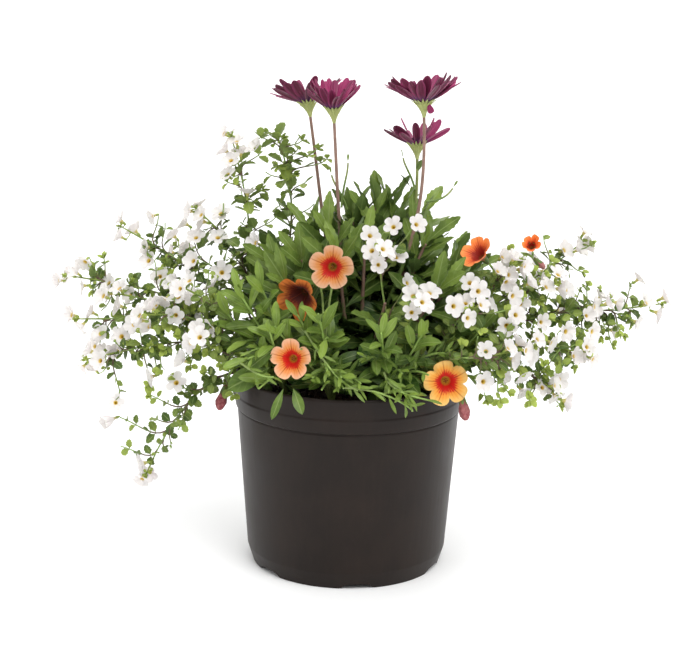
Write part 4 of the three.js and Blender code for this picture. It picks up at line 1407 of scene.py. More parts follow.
@dataclass(kw_only=True)
class Daisy(Plant):
    """The African daisy: four bare flower stalks over a dome of leafy shoots."""

    name: str = "daisy"
    kind: str = "daisy"
    root: tuple[float, float] = (8.0, 14.0)
    seed: int = 11
    crown_radius: float = 5.6
    crown_above: float = 13.0
    stem_radius: float = 2.5
    tip_radius: float = 1.2
    stalk_radius: float = 1.6
    cup_height: float = 13.0
    hub_radius: float = 5.6
    ray_length: float = 33.0
    ray_half_width: float = 4.3
    overlap: float = 8.6
    florets: int = 54
    shoot_leaves: int = 17
    heart_leaves: int = 120
    leaf: Blade = Blade(
        58, 8.4, shoulder=1.1, blunt=0.8, stalk=0.07, rows=14, teeth=0.17, fold=17, droop=26, wave=0.2
    )
    blooms: tuple[DaisyBloom, ...] = (
        DaisyBloom((-40, 46, 405), (-0.15, 0.16, 0.98), 31),
        DaisyBloom((-17, -16, 407), (-0.06, -0.16, 0.98), 49, 26, 0.83),
        DaisyBloom((59, -20, 414), (-0.05, 0.06, 1), 32, 27, hanging=(62, -24, 414)),
        DaisyBloom((56, 26, 372), (-0.04, 0.1, 1), 39, 13, 0.9),
    )
    shoots: tuple[Triple, ...] = (
        (20, 8, 306), (66, -8, 292), (96, -22, 268), (-38, 12, 296), (-66, -14, 270), (-12, -36, 286),
        (48, 48, 290), (-18, 58, 284), (92, 42, 266), (-72, 48, 262), (18, 88, 262), (30, -62, 250),
    )
    fillers: tuple[Triple, ...] = (
        (78, -50, 262), (-56, -48, 262), (-84, 12, 250), (-50, 66, 240), (52, 80, 244), (108, 10, 262),
        (-2, 28, 302), (40, 14, 306), (-20, -14, 300), (12, -24, 292), (-44, -30, 280), (66, 30, 276),
        (22, 20, 319), (36, 26, 315), (2, 20, 311), (60, 12, 309),
    )
    old_leaves: tuple[tuple[Triple, Triple], ...] = (
        ((-28, 36, 206), (1, 0.1, 0)),
        ((36, 48, 196), (-1, 0.1, 0.1)),
        ((-24, 52, 216), (1, 0, -0.2)),
    )
    wisps: tuple[tuple[Triple, ...], ...] = (
        ((55, 20, 332), (52, 20, 345), (45, 18, 353), (44, 18, 360)),
        ((64, -6, 326), (74, -4, 326), (82, -2, 329), (87, 0, 337)),
        ((-4, 4, 316), (-9, 4, 332), (-16, 4, 337), (-18, 4, 346)),
        ((-9, 2, 318), (-8, 2, 340), (-4, 2, 345), (-4, 2, 357)),
    )

    def build(self) -> None:
        """Grow the plant and its blooms."""
        self.cups = self.greens("cups", self.bed.finishes.daisy_cup)
        self.young = self.greens("young_stalk", self.bed.finishes.daisy_young_stalk)
        self.grow_stalks()
        self.grow_shoots()
        self.grow_heart()
        self.grow_wisps()
        for piece in (self.stalks, self.young, self.leaves, self.cups):
            piece.build("daisy_leafy_stems")
        for number, bloom in enumerate(self.blooms, 1):
            self.rays(bloom, number)
            self.disc(bloom, number)

    def grow_stalks(self) -> None:
        """Raise the bare flower stalks, the last of them still green, and the cups that they carry."""
        total = len(self.blooms) + len(self.shoots)
        tube = Tube(self.stem_radius * 0.8, self.stalk_radius * 0.84, 8)
        for bloom in self.blooms:
            face = unit(bloom.face)
            under = vec(bloom.at) - face * (self.cup_height - 1)
            start = self.leave(under, total)
            rise = under - start
            rise[2] = 150
            piece = self.young if bloom is self.blooms[-1] else self.stalks
            piece.add(tube.shape(Curve.stem(start, unit(rise), under, face)))
            self.cup(bloom)

    def cup(self, bloom: DaisyBloom) -> None:
        """Make the cup under a bloom: a goblet with two whorls of pointed bracts along it.

        Args:
            bloom: The bloom.
        """
        frame = bloom.frame()
        goblet = [(1.4, -14), (1.6, -12.8), (2.2, -10.8), (3.2, -8.0), (4.5, -5.0), (5.3, -2.4), (4.4, -0.9)]
        self.cups.add(turned(goblet, 20), frame, 0.4)
        for i in range(30):
            spoke = spoke_at(i / 30 * TURN)
            inner = i % 2
            lean = math.radians(74 - inner * 5 + self.rng.normal(0, 2))
            out = spoke * math.cos(lean) + vec((math.sin(lean), 0, 0))
            curl = float(70 - bloom.closed_deg + self.rng.normal(0, 4))
            bract = Blade(10.2 + 1.4 * inner, 1.25, 0.6, 0.9, 0, 0, 6, 2, fold=6, droop=curl, thickness=0.6)
            foot = spoke * (2.3 + inner * 1.3) + vec((-9.6 + inner * 2.6, 0, 0))
            placed = frame.carry(Frame.at(foot, out, -spoke))
            self.cups.add(bract.shape(), placed, self.rng.uniform(0.2, 0.8))

    def grow_shoots(self) -> None:
        """Grow the leafy shoots, each with a spiral of leaves that ends in a tuft."""
        total = len(self.blooms) + len(self.shoots)
        for number, tip in enumerate(self.shoots + self.fillers):
            end = vec(tip)
            self.left = min(self.left, total - 1)
            start = self.leave(end, total)
            rise, way = end - start, end - start
            rise[2], way[2] = 70, 120
            curve = Curve.stem(start, unit(rise), end, unit(way))
            self.stalks.add(Tube(self.stem_radius, self.tip_radius).shape(curve, 0, 0.98))
            self.spiral(curve, number)

    def spiral(self, curve: Curve, number: int) -> None:
        """Set the leaves of a shoot: broad and hanging low down, slim and upright in the tuft.

        Args:
            curve: The shoot's curve.
            number: The shoot's number.
        """
        for i in range(self.shoot_leaves):
            share = i / (self.shoot_leaves - 1)
            size = lerp(1.06, 0.62, share**1.5) * self.rng.uniform(0.86, 1.1)
            blade = replace(self.leaf, droop=lerp(40, 8, share), fold=lerp(10, 20, share))
            spread = lerp(80, 20, share) + self.rng.normal(0, 6)
            frame = self.frame_on(curve, lerp(0.42, 0.985, share), i * GOLDEN + number, spread)
            tone = lerp(0.12, 0.75, share**2) + self.rng.normal(0, 0.1)
            self.extra(frame, blade.varied(self.rng, size), float(np.clip(tone, 0, 1)))

    def grow_heart(self) -> None:
        """Pack leaves round the plant's heart, all round and hanging out over the soil at its skirt."""
        for i in range(self.heart_leaves):
            angle, share = i * GOLDEN, ((i * 0.618) % 1)
            lift = lerp(0.25, 1.5, share)
            out = vec((math.cos(angle), math.sin(angle), lift + self.rng.uniform(-0.2, 0.3)))
            foot = vec((*self.root, lerp(176, 236, share))) + unit(out) * 7
            frame = Frame.at(foot, out, self.light_at(foot))
            blade = self.leaf.varied(self.rng, self.rng.uniform(0.85, 1.15))
            self.extra(frame, blade, self.rng.uniform(0, 0.3))
        for foot, out in self.old_leaves:
            self.leaves.add(self.leaf.shape(), Frame.at(foot, out, (0, -1, 0.4)), 0.0)

    def grow_wisps(self) -> None:
        """Add the thin stalk ends that curl up out of the leaves, each with a small leaf at its tip."""
        for knots in self.wisps:
            wisp = Curve.through(*knots)
            self.young.add(Tube(1.1, 0.85, 5, 3).shape(wisp))
            tip = Frame.at(wisp.point(1), wisp.tangent(1), self.light_at(wisp.point(1)))
            self.leaves.add(Blade(8, 1.0, rows=5, columns=2, droop=10).shape(), tip, 0.7)
        small = Blade(15, 2.6, shoulder=1.0, blunt=0.8, rows=6, droop=12)
        for spot, out in (((56, 24, 345), (0.3, -0.2, 1)), ((51, 22, 334), (-0.5, -0.2, 0.8))):
            self.leaves.add(small.shape(), Frame.at(spot, out, self.light_at(vec(spot))), 0.5)

    def rays(self, bloom: DaisyBloom, number: int) -> None:
        """Set the rays on their hub in two whorls, each ray's edge over its neighbour's.

        Args:
            bloom: The bloom.
            number: Its number.
        """
        piece = Piece(f"daisy_bloom_rays_{number}", self.bed.finishes.ray, "daisy_rays")
        frame = bloom.frame()
        hub = [(4.2, -0.9), (self.hub_radius - 0.8, 0), (self.hub_radius - 0.8, 1.8), (4, 2.6)]
        piece.add(turned(hub, 20), frame, 0.2)
        for i in range(bloom.rays):
            inner = i % 2
            angle = (i + self.rng.normal(0, 0.12)) / bloom.rays * TURN
            lift = math.radians(bloom.closed_deg + 9 * inner + self.rng.normal(0, 5))
            spoke = spoke_at(angle)
            out = spoke * math.cos(lift) + vec((math.sin(lift), 0, 0))
            above = vec((math.cos(lift), 0, 0)) - spoke * math.sin(lift)
            above = spun(above, out, self.rng.normal(self.overlap / bloom.rays, 0.16))
            ray = Blade(
                length=self.ray_length * bloom.reach * self.rng.uniform(0.9, 1.06) * (1 - 0.06 * inner),
                half_width=self.ray_half_width * bloom.reach * self.rng.uniform(0.88, 1.12),
                **RAY_FORM,
                droop=self.rng.normal(6, 8),
                twist=self.rng.normal(0, 7),
                sway=self.rng.normal(0, 0.03),
            )
            foot = spoke * (self.hub_radius - 1.0) + vec((-1.0 + 0.7 * inner, 0, 0))
            piece.add(ray.shape(), frame.carry(Frame.at(foot, out, above)), self.rng.random())
        if bloom.hanging:
            # One short ray hangs down beside the cup.
            short = Blade(11, 2.9, 1.3, 0.4, 0, 0.4, 9, 6, thickness=0.45, fold=-12, droop=24)
            piece.add(short.shape(), Frame.at(bloom.hanging, (0.36, -0.35, -0.86), (0, -1, 0.2)), 0.35)
        piece.build(f"daisy_rays_{number}")

    def disc(self, bloom: DaisyBloom, number: int) -> None:
        """Stand the florets of the disc in a spiral on a low dome.

        Args:
            bloom: The bloom.
            number: Its number.
        """
        piece = Piece(f"daisy_bloom_disc_{number}", self.bed.finishes.disc, "daisy_disc")
        frame = bloom.frame()
        dome = [(3.6, 2.7), (4.1, 3.3), (3.6, 4.0), (2.4, 4.6), (1.0, 4.9)]
        piece.add(turned(dome, 20), frame, 0.1)
        floret = [(0.42, 0), (0.55, 0.6), (0.34, 1.3), (0.5, 1.7), (0.2, 2.0)]
        for i in range(self.florets):
            radius = 4.1 * math.sqrt((i + 0.5) / self.florets)
            spoke = spoke_at(i * GOLDEN) * radius
            foot = spoke + vec((4.6 - 0.09 * radius**2, 0, 0))
            placed = frame.carry(Frame.at(foot, spoke * 0.14 + vec((1, 0, 0)), UP))
            piece.add(turned(floret, 5), placed, self.rng.uniform(0.2, 1.0), 0.8)
        piece.build(f"daisy_disc_{number}")


# ---------------------------------------------------------------- calibrachoa


@dataclass(frozen=True)
class Bloom:
    """A calibrachoa bloom: where it opens, the way it faces, its size, tint unless faded, cup and tone, a
    factor on its brightness that paints shade on a bloom in shade and light on a lit one.
    """

    at: Triple
    face: Triple
    size: float = 1.0
    tint: Tint | None = Tint.APRICOT
    cup: float = 0.0
    tone: float = 0.66

    def frame(self) -> Frame:
        """Stand a frame in the bloom's mouth with x the way that it faces."""
        return Frame.at(self.at, self.face, UP)


@dataclass(kw_only=True)
class Calibrachoa(Plant):
    """A calibrachoa: leafy stems that lean over the rim, and trumpets on stalks of their own."""

    kind: str = "calibrachoa"
    crown_radius: float = 2.9
    crown_above: float = 9.0
    tips: tuple[Triple, ...] = ()
    fillers: tuple[Triple, ...] = ()
    blooms: tuple[Bloom, ...] = ()
    stem_radius: float = 1.7
    tip_radius: float = 0.8
    leaf_length: float = 28.0
    leaf_half_width: float = 5.4
    leaf_spacing: float = 13.5
    tube_length: float = 20.0
    faded_length: float = 16.0
    singles: tuple[tuple[Triple, Triple, float], ...] = ()
    runners: tuple[tuple[Triple, ...], ...] = ()
    low_tip: float = 175.0  # stems whose tips lie lower hang down
    mid_tip: float = 214.0  # stems whose tips lie lower bear slim leaves
    high_tip: float = 225.0  # stems whose tips lie higher rise
    rim_reach: float = 84.0  # how far out in front leaves hang no lower than at the rim
    rim_low: tuple[float, float] = (184.0, 174.0)  # the height of those leaves, left and right
    rim_split: float = 40.0  # where the right begins
    leaf: Blade = Blade(29, 4.4, shoulder=1.05, blunt=0.78, stalk=0.05, rows=9, fold=20, droop=24, wave=0.1)
    corolla: Corolla = Corolla(
        ((1.7, -20), (1.6, -16), (2.6, -12), (4.2, -8.6), (5.9, -5.6), (9, -2.6), (13.5, -0.7), (18, 0.2)),
        (21.2, 0.5),
        ((18, 0.8), (13.5, 0.1), (9, -1.7), (6.2, -4.2), (4.6, -7.0), (3.2, -10), (1.4, -12)),
        notch=0.3, roundness=4.2, setback=2.2, ruffle=1.1, steps=14,
    )  # fmt: skip

    def build(self) -> None:
        """Grow the plant and its blooms."""
        self.grow_stems()
        self.grow_pedicels()
        self.grow_leaves()
        self.grow_runners()
        for piece in (self.stalks, self.leaves):
            piece.build(f"{self.name}_stems")
        for number, bloom in enumerate(self.blooms, 1):
            self.open(bloom, number)

    def grow_stems(self) -> None:
        """Lead the stems from the crown to their tips."""
        x, y = self.root
        crown = [(self.crown_radius, self.ground - 3), (self.crown_radius * 0.9, self.ground + 2)]
        crown += [(self.crown_radius, self.ground + 5), (self.crown_radius * 0.7, self.ground + 9)]
        self.stalks.add(turned(crown, 9), Frame.at((x, y, 0), UP, (0, 1, 0)))
        for number, tip in enumerate(self.tips + self.fillers):
            end = vec(tip)
            self.left = min(self.left, len(self.tips) - 1)
            start = self.leave(end, len(self.tips))
            flat = level(end - start)
            rise = flat * 0.35 + UP * 0.9
            low = -0.1 if tip[2] > self.low_tip else -0.9
            way = flat + UP * (1.5 if tip[2] > self.high_tip else low)
            curve = Curve.stem(start, unit(rise), end, unit(way))
            self.stems.append(Stem(curve, number < len(self.tips)))
            self.stalks.add(Tube(self.stem_radius * 0.85, self.tip_radius).shape(curve))

    def grow_pedicels(self) -> None:
        """Fork a stalk to each bloom off the nearest stem, and set its five sepals."""
        grown = [stem.curve for stem in self.stems[: len(self.tips)]]
        for i, bloom in enumerate(self.blooms):
            face, fork = unit(bloom.face), 0.42 + 0.12 * i
            length = self.tube_length * bloom.size if bloom.tint else self.faded_length
            end = vec(bloom.at) - face * (length + 0.3)
            curve = min(grown, key=lambda c: np.linalg.norm(c.point(fork) - end))
            pedicel = Curve.stem(curve.point(fork), curve.tangent(fork), end, face)
            self.stalks.add(Tube(0.8, 1.1).shape(pedicel, 0, 0.97))
            for k in range(5):
                spoke = spoke_at(k / 5 * TURN + i)
                local = Frame.at(spoke * 0.9, spoke * 0.34 + vec((1, 0, 0)), -spoke)
                sepal = Blade(11, 1.5, 1.0, 0.5, 0, 0.2, 5, 2, fold=8, droop=-14)
                self.leaves.add(sepal.shape(), Frame.at(end - face, face, UP).carry(local), 0.5)

    def grow_leaves(self) -> None:
        """Set the leaves that the solids have, and between them as many again."""
        for number, stem in enumerate(self.stems):
            length = stem.curve.length()
            first = min(0.24, 24 / length)
            count = math.floor((1 - first) * length / self.leaf_spacing)
            for i in range(count if stem.leafy else 0):
                share = i / max(1, count - 1)
                size = (0.85 + 0.3 * self.draws()) * lerp(1.1, 0.8, share)
                turn = i * GOLDEN + number * 2 + self.draws()
                frame = self.frame_on(stem.curve, lerp(first, 0.97, share), turn, lerp(70, 30, share))
                narrow = 0.72 if stem.curve.point(1)[2] < self.mid_tip else 0.9
                half_width = self.leaf_half_width * narrow
                blade = replace(self.leaf, length=self.leaf_length, half_width=half_width)
                self.extra(frame, blade.varied(self.rng, size), self.tone(share))
            self.fill(stem.curve, first, length, number)
        for foot, tip, half_width in self.singles:
            out = vec(tip) - vec(foot)
            blade = replace(self.leaf, length=float(np.linalg.norm(out)), half_width=half_width, droop=14)
            self.leaves.add(blade.shape(), Frame.at(foot, out, (0, -1, 0.5)), 0.3)

    def grow_runners(self) -> None:
        """Lay the pale old stems that lie along the rim, with thin leaves on them."""
        slip = replace(self.leaf, length=16, half_width=1.5, blunt=0.9, rows=6)
        for knots in self.runners:
            curve = Curve.through(*knots)
            self.stalks.add(Tube(1.0, 0.8, 6, 4).shape(curve))
            count = round(curve.length() / 5)
            for i in range(count):
                frame = self.frame_on(curve, (i + 0.5) / count, i * GOLDEN, 40 + self.rng.normal(0, 10))
                self.leaves.add(slip.varied(self.rng, self.rng.uniform(0.7, 1.1)).shape(), frame, 0.6)

    def clear(self, frame: Frame, length: float) -> bool:
        """Tell whether a leaf keeps out of the clearings, and doesn't hang over the rim in front.

        Args:
            frame: The leaf's place.
            length: Its length.

        Returns:
            Whether it does.
        """
        tip = frame.origin + frame.axes[0] * length
        left, right = self.rim_low
        low = tip[2] < (left if tip[0] < self.rim_split else right)
        over = low and tip[1] < 0 and math.hypot(tip[0], tip[1]) > self.rim_reach
        return not over and super().clear(frame, length)

    def tone(self, share: float) -> float:
        """Give how young a leaf looks at a share of its stem."""
        return float(np.clip(lerp(0.1, 0.85, share**1.6) + self.rng.normal(0, 0.12), 0, 1))

    def fill(self, curve: Curve, first: float, length: float, number: int) -> None:
        """Add the leaves that stand between those of the solids, and a tuft of small ones at the tip.

        Args:
            curve: The stem's curve.
            first: The share of it where leaves start.
            length: Its length.
            number: Its number.
        """
        fine = curve.point(1)[2] < self.mid_tip
        blade = replace(self.leaf, length=21, half_width=2.2, blunt=0.8) if fine else self.leaf
        count = math.floor(length / (4.2 if fine else 5.4))
        for i in range(count):
            share = (i + 0.5) / count
            t = lerp(first * 0.6, 0.99, share)
            size = lerp(1.05, 0.6 if fine else 0.8, share**2) * self.rng.uniform(0.8, 1.15)
            spread = lerp(74, 22, share**1.4) + self.rng.normal(0, 8)
            frame = self.frame_on(curve, t, i * GOLDEN + number * 1.3 + 0.7, spread)
            self.extra(frame, blade.varied(self.rng, size), self.tone(share))

    def open(self, bloom: Bloom, number: int) -> None:
        """Open a bloom, or let it fade: its lobes rolled into a crumpled cone.

        Args:
            bloom: The bloom.
            number: Its number.
        """
        if bloom.tint:
            finish = self.bed.finishes.tints[bloom.tint]
            piece = Piece(f"{self.name}_trumpet_{number}", finish, "calibrachoa_bloom")
            shape = self.corolla.cupped(bloom.cup).shape(self.rng, turn=self.rng.uniform(0, 1.2))
            piece.add(shape, bloom.frame(), bloom.tone, bloom.size)
            self.anthers(piece, bloom)
            piece.build(f"{self.name}_bloom_{number}")
            return
        piece = Piece(f"{self.name}_wilted_{number}", self.bed.finishes.faded, "faded_bloom")
        profile = [(1.6, -16), (1.9, -12), (3.4, -8), (4.6, -5), (5.4, -1), (4.4, 2.5), (3, 5), (1.2, 6.5)]
        angle = np.arange(25) / 25 * TURN
        deep = np.linspace(0.05, 0.4, len(profile))[:, None]
        twist = np.linspace(0, 1.6, len(profile))[:, None]
        wobble = 1 - deep * (0.5 + 0.5 * np.cos(5 * angle + twist * 3)) + self.rng.normal(0, 0.04, (8, 25))
        frame = bloom.frame()
        foot = frame.put(vec((self.faded_length * (bloom.size - 1), 0, 0)))
        tone = self.rng.uniform(0.3, 0.7)
        piece.add(turned(profile, 25, wobble), Frame(foot, frame.axes), tone, bloom.size)
        piece.build(f"{self.name}_faded_bloom_{number}")

    def anthers(self, piece: Piece, bloom: Bloom) -> None:
        """Set five anthers round the stigma, down in the throat.

        Args:
            piece: The piece that takes them.
            bloom: The bloom.
        """
        frame = bloom.frame()
        bead = [(0.4, -0.5), (0.75, 0), (0.4, 0.55)]
        shape = turned(bead, 6)
        shape = replace(shape, reads=np.zeros_like(shape.reads))
        spots = [spoke_at(k * TURN / 5) * 1.5 - vec((8.6, 0, 0)) for k in range(5)]
        for spot in (*spots, vec((-7.8, 0, 0))):
            piece.add(shape, Frame(frame.put(spot, bloom.size), frame.axes), 0.5, bloom.size)


# ---------------------------------------------------------------- bacopa


@dataclass(frozen=True)
class Spray:
    """A bacopa spray: the middle of its posy, the way it points, its flowers and its flowering length."""

    at: Triple
    way: Triple
    flowers: int
    spine: float
    bend: int = 0  # how many steps its stem is moved out of the way of others


@dataclass(kw_only=True)
class Bacopa(Plant):
    """A bacopa: wiry trailing stems with pairs of round toothed leaves and small white flowers."""

    kind: str = "bacopa"
    crown_radius: float = 2.3
    crown_above: float = 14.0
    knob: float = 6.0
    sprays: tuple[Spray, ...] = ()
    stem_radius: float = 1.3
    tip_radius: float = 0.8
    flower_radius: float = 9.4
    pedicel: float = 9.0
    strays: tuple[Triple, ...] = ()
    shoots: tuple[Triple, ...] = ()
    leafing: float = 1.0
    leaf_pitch: float = 10.5
    missing: float = 0.12  # the share of leaves that it has lost
    low_foot: float = 173.0  # posies that hang lower, or stand higher than high_foot, have steep stems
    high_foot: float = 260.0
    twig_pitch: float = 16.0
    flowering: tuple[float, float] = (0.07, 0.4)  # the share of twigs that flower, in front and behind
    back_y: float = 40.0  # where behind begins
    tries: int = 12  # for a place clear of the posy's other flowers
    leaf: Blade = Blade(
        12.5, 4.6, shoulder=0.6, blunt=0.7, stalk=0.14, neck=0.14, rows=9, teeth=0.2, fold=16, droop=24
    )
    corolla: Corolla = Corolla(
        ((0.8, -7.5), (1.1, -4.2), (1.8, -2.0), (4.4, -0.75), (7.4, 0.15)),
        (9.4, 0.9),
        ((7.4, 0.6), (4.4, -0.2), (2.1, -1.3), (1.3, -2.9), (0.5, -4.0)),
        notch=0.34, roundness=2.7, setback=-0.3, ruffle=0.4, steps=8,
    )  # fmt: skip

    def build(self) -> None:
        """Grow the plant and its flowers, which are gathered by the number of their spray."""
        self.posies: dict[int, Piece] = {}
        white = self.bed.finishes.white
        for number, spray in enumerate(self.sprays, 1):
            if spray.flowers:
                self.posies[number] = Piece(f"{self.name}_posy_{number}", white, "bacopa_flowers")
                self.posy(self.posies[number], spray)
        self.grow_stems()
        for number, stem in enumerate(self.stems, 1):
            self.pair_leaves(stem.curve, 0.16, 1.0, number)
            self.grow_twigs(self.posies.get(number), stem.curve)
        for ends in (self.strays, self.shoots):
            for end in ends:
                self.grow_branch(vec(end), flowering=ends is self.strays)
        for piece in (self.stalks, self.leaves):
            piece.build(f"{self.name}_stems")
        for number, piece in self.posies.items():
            piece.build(f"{self.name}_flowers_{number}")

    def outwards(self, point: Sequence[float]) -> Vec:
        """Give the way out of the planting at a point."""
        return unit((point[0], point[1] - 20, (point[2] - 210) * 0.7))

    def posy(self, piece: Piece, spray: Spray) -> None:
        """Set a posy's flowers in a spiral along its spine, clear of each other.

        Args:
            piece: The piece that takes the flowers.
            spray: The spray.
        """
        way, outwards = unit(spray.way), self.outwards(spray.at)
        start = vec(spray.at) - way * spray.spine / 2
        end = vec(spray.at) + way * spray.spine / 2
        spine = Curve.through(start, lerp(start, end, 0.33), lerp(start, end, 0.67), end)
        self.leaves.add(Tube(0.9, 0.6, 5).shape(spine))
        guide = vec((0, -1, 0)) if abs(way[2]) > 0.9 else UP
        side = unit(np.cross(guide, way))
        centres: list[Vec] = []
        for i in range(spray.flowers):
            foot = lerp(start, end, lerp(0.3, 0.96, i / (spray.flowers - 1)))
            stretch, radius = 0.85 + 0.4 * self.draws(), self.flower_radius * (0.88 + 0.2 * self.draws())
            turn = self.draws() * math.pi
            for tries in range(self.tries):
                out = spun(side, way, i * GOLDEN + spray.at[0] + tries * 0.52) + way * 0.35
                out = unit(out + outwards * 0.55)
                centre = foot + out * self.pedicel * (stretch + tries * 0.07)
                if all(np.linalg.norm(centre - other) > radius * 1.25 for other in centres):
                    break
            centres.append(centre)
            self.flower(piece, centre, out + outwards * 0.8, foot, radius, turn)
        self.buds(piece, end, way)

    def flower(self, piece: Piece, centre: Vec, face: Vec, foot: Vec, radius: float, turn: float) -> None:
        """Open one flower on its stalk.

        Args:
            piece: The piece that takes the flower.
            centre: The middle of the flower.
            face: The way it faces, before it lifts a little.
            foot: Where its stalk leaves the spine.
            radius: Of the flower.
            turn: How far it is turned about its own axis, in radians.
        """
        face = unit(face + vec((0, -0.15, 0.3)) + self.rng.normal(0, 0.3, 3))
        frame = Frame.at(centre, face, UP)
        size = radius / self.flower_radius
        corolla = replace(self.corolla, notch=self.rng.uniform(0.22, 0.42))
        corolla = corolla.cupped(self.rng.gamma(1.4, 1.0))
        piece.add(corolla.shape(self.rng, turn), frame, 0.5, size)
        back = centre - face * 7.0 * size
        middle = lerp(foot, back, 0.5) - face * 1.5
        pedicel = Curve.through(foot, middle, lerp(middle, back, 0.6), back)
        self.leaves.add(Tube(0.45, 0.5, 5, 3).shape(pedicel), None, 0.6)
        cup = [(0.5, -8.4), (1.05, -7.4), (1.35, -5.8), (1.15, -4.4)]
        self.leaves.add(turned(cup, 6), frame, 0.75, size)
        self.bed.clearings.append(Clearing(centre, face, radius * 0.8, 14))

    def buds(self, piece: Piece, end: Vec, way: Vec) -> None:
        """Set the small green leaves and white buds that a spray ends in.

        Args:
            piece: The piece that takes the buds.
            end: Where the spray ends.
            way: The way it points.
        """
        for _ in range(5):
            out = unit(way + self.rng.normal(0, 0.7, 3))
            frame = Frame.at(end - way, out, self.light_at(end))
            self.leaves.add(self.leaf.varied(self.rng, self.rng.uniform(0.3, 0.52)).shape(), frame, 0.95)
        for _ in range(2):
            out = unit(way + self.rng.normal(0, 0.6, 3))
            frame = Frame.at(end + out * 3.4, out, UP)
            piece.add(turned([(0.4, 0), (1.0, 1.4), (1.2, 2.8), (0.6, 4.0)], 7), frame, 0.5)
            self.leaves.add(turned([(0.35, -3.4), (0.45, -1), (1.15, 0.2), (1.15, 1.4)], 6), frame, 0.9)

    def grow_stems(self) -> None:
        """Lead the stems from the knob of the crown to the feet of the posies."""
        x, y = self.root
        low, knob = self.ground, self.knob
        crown = [(self.crown_radius, low - 3), (self.crown_radius * 1.1, low + 1.5), (knob, low + 4.5)]
        crown += [(knob * 0.95, low + 10), (knob * 0.6, low + self.crown_above)]
        wobble = self.rng.uniform(0.9, 1.1, (5, 12))
        self.stalks.add(turned(crown, 12, wobble), Frame.at((x, y, 0), UP, (0, 1, 0)))
        for spray in self.sprays:
            way = unit(spray.way)
            end = vec(spray.at) - way * (spray.spine / 2 + 0.3)
            start = self.leave(end, len(self.sprays))
            steep = end[2] > self.high_foot or end[2] < self.low_foot
            rise = level(end - start) * 0.5 + UP * (0.96 if steep else 0.66)
            curve = Curve.stem(start, unit(rise), end, way, spray.bend)
            self.stems.append(Stem(curve))
            self.stalks.add(Tube(self.stem_radius, self.tip_radius * 0.9).shape(curve))

    def pair_leaves(self, curve: Curve, first: float, last: float, number: float) -> None:
        """Set pairs of leaves along a stem, each pair turned a quarter from the last.

        Args:
            curve: The stem's curve.
            first: The share of it where they start.
            last: And where they end.
            number: How far the first pair is turned, in radians.
        """
        length = curve.length() * (last - first)
        count = max(2, round(length / self.leaf_pitch / self.leafing))
        for i in range(count):
            share = (i + self.rng.uniform(0.1, 0.6)) / count
            t = min(1.0, lerp(first, last, share))
            size = lerp(1.1, 0.6, share) * self.rng.uniform(0.5, 1.15) * self.leafing
            turn = i * math.pi / 2 + number + self.rng.uniform(-0.4, 0.4)
            for half in (0, math.pi):
                if self.rng.random() < self.missing:
                    continue
                frame = self.frame_on(curve, t, turn + half, 62 + self.rng.normal(0, 10))
                high = 0.35 * ease((frame.origin[2] - 300) / 50)
                tone = float(np.clip(lerp(0.08, 0.7, share**1.5) + high + self.rng.normal(0, 0.13), 0, 1))
                self.extra(frame, self.leaf.varied(self.rng, size), tone)

    def grow_twigs(self, posy: Piece | None, curve: Curve) -> None:
        """Grow side twigs off a stem, some of them with a flower at the tip.

        Args:
            posy: The piece that takes the flowers, if the stem has any.
            curve: The stem's curve.
        """
        length = curve.length()
        count = round(length / self.twig_pitch)
        for i in range(count):
            t = lerp(0.34, 0.96, (i + self.rng.uniform(0.2, 0.8)) / count)
            reach = self.rng.uniform(14, 36)
            frame = self.frame_on(curve, t, i * GOLDEN * 1.7, self.rng.uniform(34, 62))
            start, out = curve.point(t), frame.axes[0]
            tip = start + out * reach + vec((0, 0, self.rng.uniform(-2, 7)))
            if not self.clear(Frame(start, np.array([out] * 3)), reach):
                continue
            twig = Curve.stem(start, curve.tangent(t), tip, unit(out + UP * 0.3))
            self.stalks.add(Tube(0.7, 0.5, 5, 5).shape(twig))
            self.pair_leaves(twig, 0.2, 1.0, i)
            front, back = self.flowering
            share = back if curve.point(1)[1] > self.back_y else front
            if posy is not None and self.rng.random() < share:
                face = self.outwards(tip) + out * 0.5
                centre = tip + unit(face) * 6
                if any(clearing.holds(centre) for clearing in self.bed.clearings):
                    continue
                radius = self.flower_radius * self.rng.uniform(0.84, 1.02)
                self.flower(posy, centre, face, tip, radius, self.rng.uniform(0, 1))

    def grow_branch(self, end: Vec, flowering: bool) -> None:
        """Grow a side branch off the nearest stem.

        Args:
            end: Where the branch ends, or the middle of its flower.
            flowering: Whether it ends in a flower, or else in a tuft of young leaves.
        """
        if flowering and any(np.linalg.norm(end - clearing.at) < 11 for clearing in self.bed.clearings):
            return
        face = unit(self.outwards(end) * 0.8 + vec((0, -0.6, 0.1)) + self.rng.normal(0, 0.3, 3))
        tip = end - face * 8 if flowering else end
        best = None
        for number, stem in enumerate(self.stems, 1):
            if flowering and number not in self.posies:
                continue
            for t in np.linspace(0.3, 0.98, 18):
                away = tip - stem.curve.point(t)
                reach = float(np.linalg.norm(away))
                cost = 1.6 * reach - 0.6 * float(stem.curve.tangent(t) @ away)
                if best is None or cost < best[0]:
                    best = (cost, number, t, reach)
        _, number, t, reach = best
        curve = self.stems[number - 1].curve
        way = unit(tip - curve.point(t) + UP * 0.25 * reach)
        branch = Curve.stem(curve.point(t), curve.tangent(t), tip, way)
        self.stalks.add(Tube(0.8, 0.55, 5, 5).shape(branch))
        self.pair_leaves(branch, 0.25, 1.0, number)
        if flowering:
            radius = self.flower_radius * self.rng.uniform(0.86, 1.1)
            turn = self.rng.uniform(0, 1.2)
            self.flower(self.posies[number], end, face, tip, radius, turn)
            return
        for _ in range(6):
            out = unit(way + self.rng.normal(0, 0.6, 3))
            frame = Frame.at(tip - way, out, self.light_at(tip))
            self.leaves.add(self.leaf.varied(self.rng, self.rng.uniform(0.4, 0.7)).shape(), frame, 0.95)


# ---------------------------------------------------------------- studio


